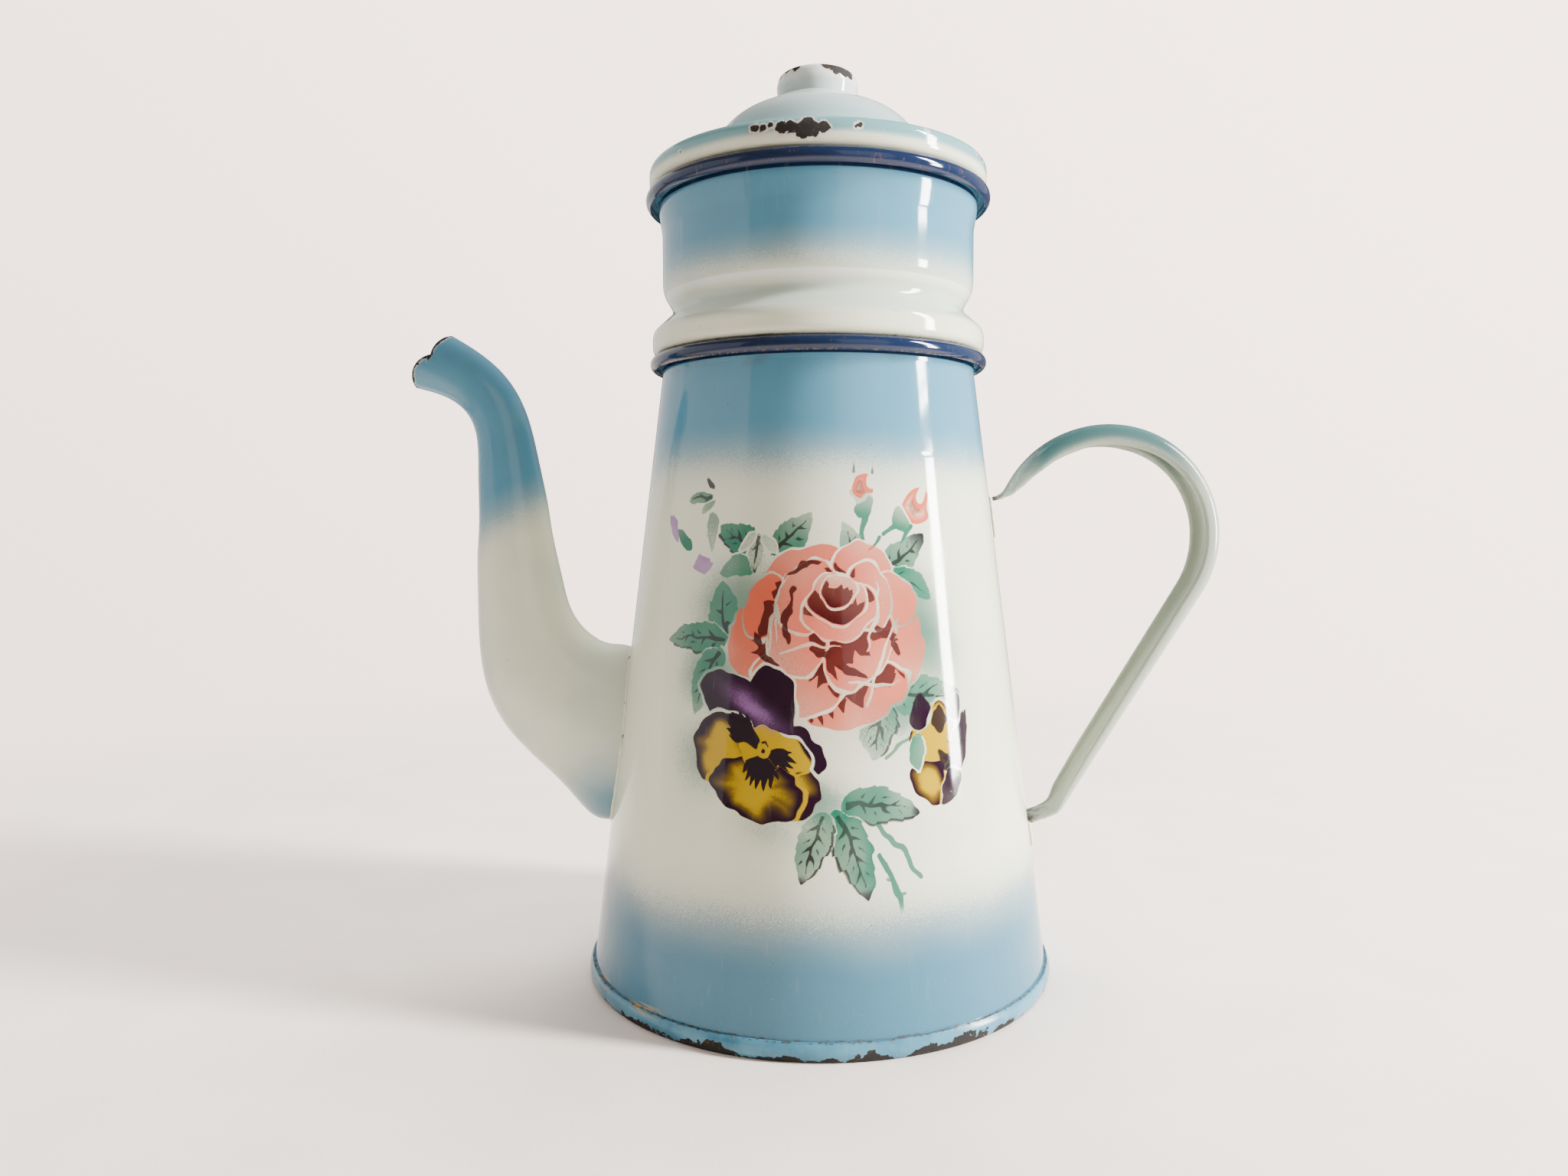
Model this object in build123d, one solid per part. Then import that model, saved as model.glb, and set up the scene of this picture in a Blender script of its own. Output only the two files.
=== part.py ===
from build123d import *
import os
from math import cos, hypot, radians, sin

# Two-tier enamelled drip pot. Millimetres, +Z up, origin on the pot's axis at the surface it stands on.
# The spout points along -X, the handle along +X. Every thin wall is pressed enamelled sheet.
sheet = 1.0
seat_gap = 0.2

# Pot: a straight cone, widest at the foot, with its mouth rolled outward.
wall_foot_z = 1.0
neck_z = 192.0
neck_radius = 50.1
wall_slope = 0.1266
pot_curl_z = 195.8
pot_curl_radius = 2.4
curl_end_angle = -62.0

# Foot: a shallow pan whose edge is folded up round the wall's lower edge.
hem_height = 5.5
hem_swell = 1.3
hem_lip = 0.8
pan_floor_z = 3.5

# Filter cup: a drum above a waist and a rounded bead, with a skirt that hangs inside the pot.
filter_curl_z = 246.9
filter_curl_radius = 2.5
filter_neck_radius = 50.8
filter_neck_foot_z = 243.5
drum_radius = 49.7
drum_top_z = 237.0
drum_foot_z = 218.6
waist_corner = (45.8, 212.0)
bead_radius = 53.1
bead_top_z = 205.4
bead_bottom_z = pot_curl_z + pot_curl_radius + seat_gap
skirt_top_radius = 48.5
skirt_foot_radius = 47.2
skirt_straight_z = 151.0
skirt_foot_z = 143.0
# Bend radii from the neck down to the skirt, in the order of the points above.
filter_bends = (12.0, 12.0, 9.0, 3.0, 4.0, 2.6, 1.0, 20.0)
filter_hem_height = 4.5
filter_floor_z = 147.0

# Perforations.
filter_hole = 1.8
filter_rings = 5
filter_ring_pitch = 7.6
strainer_hole = 3.6
strainer_centre_z = 78.0
strainer_pitch = 7.0
strainer_half_width = 13.0
strainer_half_height = 20.0

# Tamper: a perforated disc on a stem, lying on the filter floor.
tamper_radius = 44.5
tamper_lift_gap = 0.3
tamper_sheet = 0.8
tamper_rim = 3.5
tamper_hole = 3.0
tamper_rings = 3
tamper_ring_pitch = 11.5
stem_radius = 2.5
stem_height = 48.0
stem_socket = 6.0
stem_flange_radius = 5.0
tamper_knob_radius = 7.5
tamper_knob_height = 11.0

# Spreader: a perforated dish resting on the shoulder inside the waist, with a riveted strip handle.
spreader_radius = 47.6
spreader_seat_z = 217.4
spreader_sheet = 0.8
spreader_rim = 3.0
spreader_hole = 2.0
spreader_rings = 5
spreader_ring_pitch = 7.8
strip_width = 8.0
strip_span = 26.0
strip_height = 13.0
strip_foot = 9.0
strip_bends = (1.5, 4.0, 4.0, 1.5)
rivet_radius = 1.5
rivet_head_radius = 2.6
rivet_face_radius = 1.8
rivet_head = 1.0

# Lid: one pressing with a collar, a rolled bead, a shallow valley and a dome, and a hollow knob.
collar_radius = 48.0
collar_foot_z = 240.5
lid_tuck_z = filter_curl_z + filter_curl_radius + seat_gap
lid_bead_radius = 53.6
lid_bead_top_z = 256.6
lid_crest = (47.5, 259.2)
lid_valley = (42.5, 257.0)
dome_foot = (37.5, 258.2)
dome_shoulder = (28.5, 272.0)
dome_seat_radius = 13.4
dome_seat_z = 279.3
# Bend radii from the flat top out and down to the collar, in the order of the points above.
lid_bends = (3.0, 22.0, 8.0, 3.0, 4.0, 3.0, 2.6, 1.0)
knob_radius = 13.0
knob_foot_radius = 12.3
knob_wide_z = 283.8
knob_top_z = 287.8
knob_shoulder_radius = 11.9
knob_bends = (2.7, 5.0)
knob_dish = 0.7

# Spout: two pressed halves that meet in the plane of symmetry.
# Each station is the lower or outer edge, the upper or inner edge, and half the width across.
spout_stations = [
    ((-59.5, 51.2), (-54.5, 100.8), 17.2),
    ((-86.0, 61.2), (-71.0, 106.5), 16.3),
    ((-99.0, 74.0), (-77.5, 111.2), 15.5),
    ((-107.3, 87.0), (-81.3, 117.0), 14.6),
    ((-110.8, 102.0), (-83.3, 123.5), 13.8),
    ((-111.4, 119.0), (-85.2, 132.5), 12.8),
    ((-111.2, 137.0), (-87.6, 145.5), 11.6),
    ((-110.6, 155.0), (-90.2, 161.0), 10.2),
    ((-110.6, 169.5), (-93.2, 175.5), 9.0),
    ((-113.2, 180.0), (-98.6, 189.2), 8.4),
    ((-119.5, 185.8), (-106.8, 198.5), 8.2),
    ((-126.0, 188.3), (-115.2, 204.3), 8.2),
    ((-134.0, 190.8), (-124.0, 209.0), 8.2),
]
# The lips: two rounded lobes that meet in a notch, seen from the side.
lip_foot = (-129.7, 188.0)
lip_swell = (-129.2, 194.6)
lip_notch = (-123.2, 199.2)
lobe_swell = (-121.4, 203.2)
lobe_top = (-117.0, 206.6)
lip_clear = 20.0

# Handle: a strap pressed to a channel, open towards the pot, shallower towards its foot, with a
# flat tab welded to the wall at each end. The crown is the middle line of its outer face.
strap_width = 13.0
arch_centre = (94.2, 141.0)
arch_radius = 36.0
arch_angles = (153.0, -32.3)
crown_start = (54.6, 152.8)
root_run = 3.2
root_bend_radius = 4.0
straight_length = 85.2
crown_end = (67.6, 46.1)
foot_bend_radius = 4.0
# Depth of the channel along the arch (angle, depth) and down the straight (share of its length, depth).
arch_depths = ((150, 5.6), (125, 6.8), (85, 7.0), (45, 6.0), (5, 4.9), (-32.3, 4.2))
straight_depths = ((0.35, 3.7), (0.7, 3.4), (0.93, 3.0))
tab_width = 15.0
top_tab_z = (141.0, 153.0)
foot_tab_z = (40.5, 47.0)


def cone_radius(z):
    """Outer radius of the pot's wall at height z."""
    return neck_radius + wall_slope * (neck_z - z)


def edges_of(*parts):
    return [edge for part in parts for edge in part.edges()]


def turned(*outline):
    """Solid of revolution from a closed outline drawn in the XZ plane."""
    return revolve(Plane.XZ * make_face(edges_of(*outline)), Axis.Z)


def side_plate(width, *outline):
    """Plate of the given width, centred on the plane of symmetry, from an outline in that plane."""
    return extrude(Plane.XZ * make_face(edges_of(*outline)), width / 2, both=True)


def polar(centre, radius, angle):
    return (centre[0] + radius * cos(radians(angle)), centre[1] + radius * sin(radians(angle)))


def twin_corners(points, gap):
    """Corners of the line that runs a gap to the right of a polyline."""
    lines = []
    for (x0, z0), (x1, z1) in zip(points, points[1:]):
        length = hypot(x1 - x0, z1 - z0)
        nx, nz = (z1 - z0) / length, (x0 - x1) / length
        lines.append((nx, nz, nx * x0 + nz * z0 + gap))
    corners = []
    for (a, b, p), (c, d, q) in zip(lines, lines[1:]):
        spread = a * d - b * c
        corners.append(((p * d - b * q) / spread, (a * q - p * c) / spread))
    start = (points[0][0] + gap * lines[0][0], points[0][1] + gap * lines[0][1])
    end = (points[-1][0] + gap * lines[-1][0], points[-1][1] + gap * lines[-1][1])
    return [start, *corners, end]


def turn_signs(points):
    """1 where a polyline turns left at a corner, -1 where it turns right."""
    signs = []
    for (x0, z0), (x1, z1), (x2, z2) in zip(points, points[1:], points[2:]):
        cross = (x1 - x0) * (z2 - z1) - (z1 - z0) * (x2 - x1)
        signs.append(1 if cross > 0 else -1)
    return signs


def bent_sheet(points, radii, thickness=sheet):
    """A rounded line, its twin one thickness to the right, and the twin's two ends."""
    twin = twin_corners(points, thickness)
    twin_radii = [radius + sign * thickness for radius, sign in zip(radii, turn_signs(points))]
    face_line = FilletPolyline(*points, radius=radii)
    twin_line = FilletPolyline(*twin, radius=twin_radii)
    return face_line, twin_line, twin[0], twin[-1]


def rolled_mouth(centre, radius):
    """Outline of a mouth rolled outward, open underneath: two arcs and the edge between them."""
    sweep_angle = curl_end_angle - 180
    outer = CenterArc(centre, radius, 180, sweep_angle)
    inner = CenterArc(centre, radius - sheet, 180, sweep_angle)
    lip = Line(polar(centre, radius, curl_end_angle), polar(centre, radius - sheet, curl_end_angle))
    return outer, inner, lip


def ring_places(pitch, rings):
    """Centres of holes in rings of six, twelve, eighteen and so on, without the middle one."""
    places = []
    for ring in range(1, rings + 1):
        for step in range(6 * ring):
            places.append(polar((0, 0), pitch * ring, 360 * (step + ring / 2) / (6 * ring)))
    return places


def pierced(plate, places, radius, z, depth):
    """A level plate with round holes at the given places."""
    drills = [Pos(x, y, z) * Cylinder(radius, depth) for x, y in places]
    return plate - drills


def make_pot_wall():
    centre = (neck_radius - sheet + pot_curl_radius, pot_curl_z)
    outer, inner, lip = rolled_mouth(centre, pot_curl_radius)
    foot = cone_radius(wall_foot_z)
    mouth = neck_radius - sheet
    inside = Polyline((foot - sheet, wall_foot_z), (mouth, neck_z), (mouth, pot_curl_z))
    outside = Polyline((foot, wall_foot_z), (neck_radius, neck_z), (neck_radius, pot_curl_z))
    edge = Line((foot, wall_foot_z), (foot - sheet, wall_foot_z))
    wall = turned(inside, outer, lip, inner, outside, edge)
    drills = []
    rows = int(strainer_half_height / strainer_pitch)
    columns = int(strainer_half_width / strainer_pitch) + 1
    for row in range(-rows, rows + 1):
        for column in range(-columns, columns + 1):
            y = strainer_pitch * (column + 0.5 * (row % 2))
            z = strainer_pitch * row
            if hypot(y / strainer_half_width, z / strainer_half_height) <= 1:
                drill = Cylinder(strainer_hole / 2, 6 * sheet)
                at = Pos(sheet / 2 - cone_radius(strainer_centre_z + z), y, strainer_centre_z + z)
                drills.append(at * Rot(0, 90, 0) * drill)
    return wall - drills


def make_pot_base():
    """Pan with a leg inside the wall and an edge folded up outside it."""
    leg = cone_radius(wall_foot_z) - 2 * sheet
    hem_edge = (cone_radius(hem_height) + hem_lip, hem_height)
    outline = Polyline(
        (0, pan_floor_z),
        (cone_radius(pan_floor_z) - 2 * sheet, pan_floor_z),
        (leg, 0),
        (leg + 2 * sheet, 0),
    )
    hem = ThreePointArc(
        (leg + 2 * sheet, 0),
        (cone_radius(hem_height / 2) + hem_swell, hem_height / 2),
        hem_edge,
    )
    inside = Polyline(
        hem_edge,
        (cone_radius(hem_height), hem_height),
        (cone_radius(wall_foot_z), wall_foot_z),
        (cone_radius(wall_foot_z) - sheet, wall_foot_z),
        (cone_radius(pan_floor_z + sheet) - sheet, pan_floor_z + sheet),
        (0, pan_floor_z + sheet),
        (0, pan_floor_z),
    )
    return turned(outline, hem, inside)


def wall_cone():
    """Everything within the pot's outer face, to trim what is welded on to it."""
    low = (cone_radius(-neck_z), -neck_z)
    high = (cone_radius(neck_z), neck_z)
    return turned(Polyline((0, -neck_z), low, high, (0, neck_z), (0, -neck_z)))


def spout_core(side, inset):
    """One side of the loft through the stations, drawn in by an even inset: -1 is -Y, 1 is +Y."""
    sections = []
    for (x0, z0), (x1, z1), half_width in spout_stations:
        chord = hypot(x1 - x0, z1 - z0)
        along = ((x1 - x0) / chord, 0, (z1 - z0) / chord)
        plane = Plane(((x0 + x1) / 2, 0, (z0 + z1) / 2), x_dir=along, z_dir=(-along[2], 0, along[0]))
        reach = chord / 2 - inset
        arc = EllipticalCenterArc((0, 0), reach, half_width - inset, start_angle=0, arc_size=180 * side)
        sections.append(plane * make_face(edges_of(arc, Line((reach, 0), (-reach, 0)))))
    return loft(sections)


def make_spout_half(side):
    """One pressed half of the spout, trimmed to the pot's wall and to its lips."""
    outer_lip = ThreePointArc(lip_foot, lip_swell, lip_notch)
    outer_lobe = ThreePointArc(lip_notch, lobe_swell, lobe_top)
    beyond = Polyline(
        lobe_top,
        (lobe_top[0], lobe_top[1] + lip_clear),
        (lip_foot[0] - lip_clear, lobe_top[1] + lip_clear),
        (lip_foot[0] - lip_clear, lip_foot[1] - lip_clear),
        (lip_foot[0], lip_foot[1] - lip_clear),
        lip_foot,
    )
    mouth = side_plate(2 * lip_clear, outer_lip, outer_lobe, beyond)
    return spout_core(side, 0) - spout_core(side, sheet) - wall_cone() - mouth


def arch_point(angle, along=0.0, below=0.0):
    """A point of the handle's arch, moved along its clockwise tangent there and below its crown."""
    x, z = polar(arch_centre, arch_radius - below, angle)
    return (x + along * sin(radians(angle)), z - along * cos(radians(angle)))


def crown_line(inset):
    """The handle's crown, or the line at an even inset below it, from the wall round to the wall."""
    first, last = arch_angles
    root = twin_corners([crown_start, arch_point(first, -root_run), arch_point(first)], inset)
    foot = twin_corners([arch_point(last), arch_point(last, straight_length), crown_end], inset)
    lines = [
        FilletPolyline(*root, radius=root_bend_radius + inset),
        CenterArc(arch_centre, arch_radius - inset, first, last - first),
        FilletPolyline(*foot, radius=foot_bend_radius - inset),
    ]
    return lines, root[0], foot[-1]


def make_handle():
    """Channel strap: the full strap less its hollow, trimmed to the wall, with its two tabs."""
    crown, start, end = crown_line(0)
    edge = [(start[0], start[1] - sheet)]
    edge += [arch_point(angle, 0, depth) for angle, depth in arch_depths]
    edge += [arch_point(arch_angles[1], share * straight_length, depth) for share, depth in straight_depths]
    edge.append((end[0], end[1] + sheet))
    flange_edge = Spline(*edge)
    full = side_plate(strap_width, *crown, Line(end, edge[-1]), flange_edge, Line(edge[0], start))
    under, under_start, under_end = crown_line(sheet)
    hollow = side_plate(strap_width - 2 * sheet, *under, Line(under_end, under_start))
    handle = full - hollow - wall_cone()
    tab_reach = Pos(cone_radius(0), 0, 0) * Box(cone_radius(0), tab_width, 2 * neck_z)
    for low, high in (top_tab_z, foot_tab_z):
        band = turned(
            Polyline(
                (cone_radius(low), low),
                (cone_radius(low) + sheet, low),
                (cone_radius(high) + sheet, high),
                (cone_radius(high), high),
                (cone_radius(low), low),
            )
        )
        handle += band & tab_reach
    return handle


def make_filter_wall():
    centre = (filter_neck_radius - sheet + filter_curl_radius, filter_curl_z)
    outer, inner, lip = rolled_mouth(centre, filter_curl_radius)
    points = [
        (filter_neck_radius, filter_curl_z),
        (filter_neck_radius, filter_neck_foot_z),
        (drum_radius, drum_top_z),
        (drum_radius, drum_foot_z),
        waist_corner,
        (bead_radius, bead_top_z),
        (bead_radius, bead_bottom_z),
        (skirt_top_radius, bead_bottom_z),
        (skirt_foot_radius, skirt_straight_z),
        (skirt_foot_radius, skirt_foot_z),
    ]
    outside, inside, start, end = bent_sheet(points, filter_bends)
    return turned(outside, Line(points[-1], end), inside, outer, lip, inner)


def make_filter_floor():
    """Pierced floor with a leg inside the skirt and a hem folded up outside it."""
    leg = skirt_foot_radius - sheet
    bottom = skirt_foot_z - sheet
    pan = turned(
        Polyline(
            (0, filter_floor_z),
            (leg - sheet, filter_floor_z),
            (leg - sheet, bottom),
            (skirt_foot_radius + sheet, bottom),
            (skirt_foot_radius + sheet, bottom + filter_hem_height),
            (skirt_foot_radius, bottom + filter_hem_height),
            (skirt_foot_radius, skirt_foot_z),
            (leg, skirt_foot_z),
            (leg, filter_floor_z + sheet),
            (0, filter_floor_z + sheet),
            (0, filter_floor_z),
        )
    )
    places = [(0, 0)] + ring_places(filter_ring_pitch, filter_rings)
    return pierced(pan, places, filter_hole / 2, filter_floor_z + sheet / 2, 3 * sheet)


def make_tamper():
    """Plate with a low rim, stem with a flange at its foot, and a turned knob on its top."""
    base = filter_floor_z + sheet + tamper_lift_gap
    top = base + tamper_sheet
    plate = turned(
        Polyline(
            (0, base),
            (tamper_radius, base),
            (tamper_radius, base + tamper_rim),
            (tamper_radius - tamper_sheet, base + tamper_rim),
            (tamper_radius - tamper_sheet, top),
            (0, top),
            (0, base),
        )
    )
    places = ring_places(tamper_ring_pitch, tamper_rings)
    plate = pierced(plate, places, tamper_hole / 2, base, 4 * tamper_sheet)
    stem_top = top + stem_height
    socket = stem_top - stem_socket
    stem = turned(
        Polyline(
            (0, top),
            (stem_flange_radius, top),
            (stem_flange_radius, top + sheet),
            (stem_radius, top + 2 * sheet),
            (stem_radius, stem_top),
            (0, stem_top),
            (0, top),
        )
    )
    knob_middle = socket + tamper_knob_height / 2
    knob_top = socket + tamper_knob_height
    knob = turned(
        Polyline((0, stem_top), (stem_radius, stem_top), (stem_radius, socket), (stem_flange_radius, socket)),
        ThreePointArc(
            (stem_flange_radius, socket), (tamper_knob_radius, knob_middle), (stem_flange_radius, knob_top)
        ),
        Polyline((stem_flange_radius, knob_top), (0, knob_top), (0, stem_top)),
    )
    return plate, stem, knob


def make_spreader():
    """Pierced dish, a strip bent to a handle, and the two rivets that hold it."""
    low = spreader_seat_z
    top = low + spreader_sheet
    dish = turned(
        Polyline(
            (0, low),
            (spreader_radius, low),
            (spreader_radius, low + spreader_rim),
            (spreader_radius - spreader_sheet, low + spreader_rim),
            (spreader_radius - spreader_sheet, top),
            (0, top),
            (0, low),
        )
    )
    rivet_x = (strip_span + strip_foot) / 2
    places = [
        (x, y)
        for x, y in ring_places(spreader_ring_pitch, spreader_rings)
        if abs(y) > strip_width / 2 + spreader_hole or abs(x) > rivet_x + strip_foot
    ]
    dish = pierced(dish, places, spreader_hole / 2, low, 4 * spreader_sheet)
    reach = strip_span / 2 + strip_foot
    line = [
        (-reach, top + spreader_sheet),
        (-strip_span / 2, top + spreader_sheet),
        (-strip_span / 2, top + strip_height),
        (strip_span / 2, top + strip_height),
        (strip_span / 2, top + spreader_sheet),
        (reach, top + spreader_sheet),
    ]
    upper, lower, start, end = bent_sheet(line, strip_bends, spreader_sheet)
    strip = side_plate(strip_width, upper, Line(line[-1], end), lower, Line(start, line[0]))
    rivet_places = [(-rivet_x, 0), (rivet_x, 0)]
    dish = pierced(dish, rivet_places, rivet_radius, low, 4 * spreader_sheet)
    strip = pierced(strip, rivet_places, rivet_radius, top, 4 * spreader_sheet)
    rivet = turned(
        Polyline(
            (0, low - rivet_head),
            (rivet_head_radius, low - rivet_head),
            (rivet_head_radius, low),
            (rivet_radius, low),
            (rivet_radius, top + spreader_sheet),
            (rivet_head_radius, top + spreader_sheet),
            (rivet_face_radius, top + spreader_sheet + rivet_head),
            (0, top + spreader_sheet + rivet_head),
            (0, low - rivet_head),
        )
    )
    rivets = [Pos(x, y, 0) * rivet for x, y in rivet_places]
    return dish, strip, Compound(rivets)


def make_lid():
    """The lid's one pressing, and the hollow knob that stands on its flat top."""
    points = [
        (0, dome_seat_z),
        (dome_seat_radius, dome_seat_z),
        dome_shoulder,
        dome_foot,
        lid_valley,
        lid_crest,
        (lid_bead_radius, lid_bead_top_z),
        (lid_bead_radius, lid_tuck_z),
        (collar_radius, lid_tuck_z),
        (collar_radius, collar_foot_z),
    ]
    outside, inside, start, end = bent_sheet(points, lid_bends)
    shell = turned(outside, Line(points[-1], end), inside, Line(start, points[0]))
    knob_line = [
        (knob_foot_radius, dome_seat_z),
        (knob_radius, knob_wide_z),
        (knob_shoulder_radius, knob_top_z),
        (0, knob_top_z - knob_dish),
    ]
    skin, lining, start, end = bent_sheet(list(reversed(knob_line)), knob_bends)
    foot = Line(knob_line[0], end)
    knob = turned(skin, foot, lining, Line(start, knob_line[-1]))
    return shell, knob


def save(name, shape):
    export_step(shape, f"parts/{name}.step")


os.makedirs("parts", exist_ok=True)
save("pot_wall", make_pot_wall())
save("pot_base", make_pot_base())
save("spout_front_half", make_spout_half(-1))
save("spout_back_half", make_spout_half(1))
save("handle_strap", make_handle())
save("filter_wall", make_filter_wall())
save("filter_floor", make_filter_floor())
tamper_plate, tamper_stem, tamper_knob = make_tamper()
save("tamper_plate", tamper_plate)
save("tamper_stem", tamper_stem)
save("tamper_knob", tamper_knob)
spreader_dish, spreader_strip, spreader_rivets = make_spreader()
save("spreader_dish", spreader_dish)
save("spreader_strip", spreader_strip)
save("spreader_rivets", spreader_rivets)
lid_shell, lid_knob = make_lid()
save("lid_shell", lid_shell)
save("lid_knob", lid_knob)
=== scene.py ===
from functools import reduce
from math import atan2, cos, degrees, hypot, pi, radians, sin

import bpy
import numpy as np
from mathutils import Euler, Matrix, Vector


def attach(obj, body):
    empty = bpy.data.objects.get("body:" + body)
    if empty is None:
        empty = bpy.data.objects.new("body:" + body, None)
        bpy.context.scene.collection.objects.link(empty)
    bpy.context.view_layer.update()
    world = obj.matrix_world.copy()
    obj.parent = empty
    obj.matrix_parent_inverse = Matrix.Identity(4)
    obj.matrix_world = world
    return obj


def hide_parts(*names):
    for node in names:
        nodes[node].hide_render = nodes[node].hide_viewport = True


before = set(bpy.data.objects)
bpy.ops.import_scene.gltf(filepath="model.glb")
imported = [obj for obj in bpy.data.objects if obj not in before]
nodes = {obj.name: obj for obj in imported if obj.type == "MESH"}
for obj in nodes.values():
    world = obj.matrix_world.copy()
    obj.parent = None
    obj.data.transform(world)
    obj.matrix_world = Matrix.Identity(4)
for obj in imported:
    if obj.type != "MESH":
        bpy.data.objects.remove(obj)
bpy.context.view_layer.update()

# Lengths are millimetres here, in the CAD's own frame: +Z up, the spout along -X, the camera on the
# -Y side. They become metres when a mesh is made. Lights and the camera are placed in metres.
MM = 0.001
SHEET = 1
NECK_Z, NECK_R, WALL_SLOPE = 192, 50.1, 0.1266
POT_CURL_R, POT_CURL_Z = 51.5, 195.8
FILTER_CURL_R, FILTER_CURL_Z = 52.3, 246.9
LID_BEAD_R = 53.4
LIP_FOOT, LIP_SWELL, LIP_NOTCH = (-129.7, 188), (-129.2, 194.6), (-123.2, 199.2)
LOBE_SWELL, LOBE_TOP = (-121.4, 203.2), (-117, 206.6)
ARCH_CENTRE, ARCH_R, ARCH_FROM, ARCH_TO = (94.2, 141), 36, 153, -32.3
CROWN_START, CROWN_END = (54.6, 152.8), (67.6, 46.1)
ROOT_RUN, STRAIGHT = 3.2, 85.2
# The channel's depth and half its width along the handle, by share of the way from its upper end.
HANDLE_DEPTHS = (
    (0, 1.02), (0.025, 1.3), (0.05, 3.8), (0.09, 5.6), (0.15, 6.8), (0.26, 7),
    (0.37, 6.2), (0.48, 5.8), (0.58, 5.2), (0.72, 4.6), (0.85, 4), (0.92, 3.2),
    (0.945, 2), (0.97, 1.1), (1, 1.02),
)
HANDLE_HALVES = ((0, 6.4), (0.04, 6), (0.12, 6.2), (0.3, 6.7), (0.5, 7.3), (0.9, 7.3), (1, 6.8))
# How square the channel's section is: 1 is an ellipse, 0 a box.
SECTION_POWER = 0.6
TOP_TAB_Z, FOOT_TAB_Z = (141, 153), (40.5, 47)
TAB_WIDTH = 15

# Glaze colours, linear.
CREAM = (0.7, 0.72, 0.56)
# A greyed cream: painted shade at the filter's waist, and a random tint on the spout.
SHADE_AND_TINT_CREAM = (0.36, 0.49, 0.47)
BLUE = (0.08, 0.235, 0.34)
FOOT_BLUE = (0.035, 0.145, 0.222)
HEM_BLUE = (0.07, 0.225, 0.32)
TEAL = (0.15, 0.32, 0.34)
NAVY = (0.008, 0.017, 0.05)
OFF_WHITE = (0.7, 0.74, 0.7)
HANDLE_GREY = (0.33, 0.37, 0.31)
HANDLE_TEAL = (0.036, 0.11, 0.112)
UNDERCOAT = (0.66, 0.6, 0.5)
IRON = (0.011, 0.01, 0.009)
RUST = (0.17, 0.075, 0.03)
GRIME = (0.05, 0.044, 0.036)
BARE_BRASS = (0.38, 0.26, 0.12)
DUST = (0.11, 0.08, 0.052)
CLOUDING = (0.6, 0.56, 0.48)
COFFEE_STAIN = (0.34, 0.24, 0.14)
GLAZE_IOR = 1.43


def cone_r(z):
    """Outer radius of the pot's wall at a height."""
    return NECK_R + WALL_SLOPE * (NECK_Z - z)


# ---- node graphs

class Nodes:
    """A node tree. Its calls take numbers or sockets and return sockets."""

    def __init__(self, owner):
        owner.use_nodes = True
        self.tree = owner.node_tree
        self.tree.nodes.clear()

    def feed(self, socket, value):
        if isinstance(value, bpy.types.NodeSocket):
            self.tree.links.new(value, socket)
        elif isinstance(value, tuple) and socket.type == "RGBA":
            socket.default_value = (*value, 1)
        else:
            socket.default_value = value

    def node(self, kind, inputs=None, **settings):
        """A new node with its settings, and its inputs by name or number."""
        node = self.tree.nodes.new("ShaderNode" + kind)
        for name, value in settings.items():
            setattr(node, name, value)
        for key, value in (inputs or {}).items():
            self.feed(node.inputs[key], value)
        return node

    def calc(self, operation, *values):
        return self.node("Math", dict(enumerate(values)), operation=operation).outputs[0]


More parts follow.
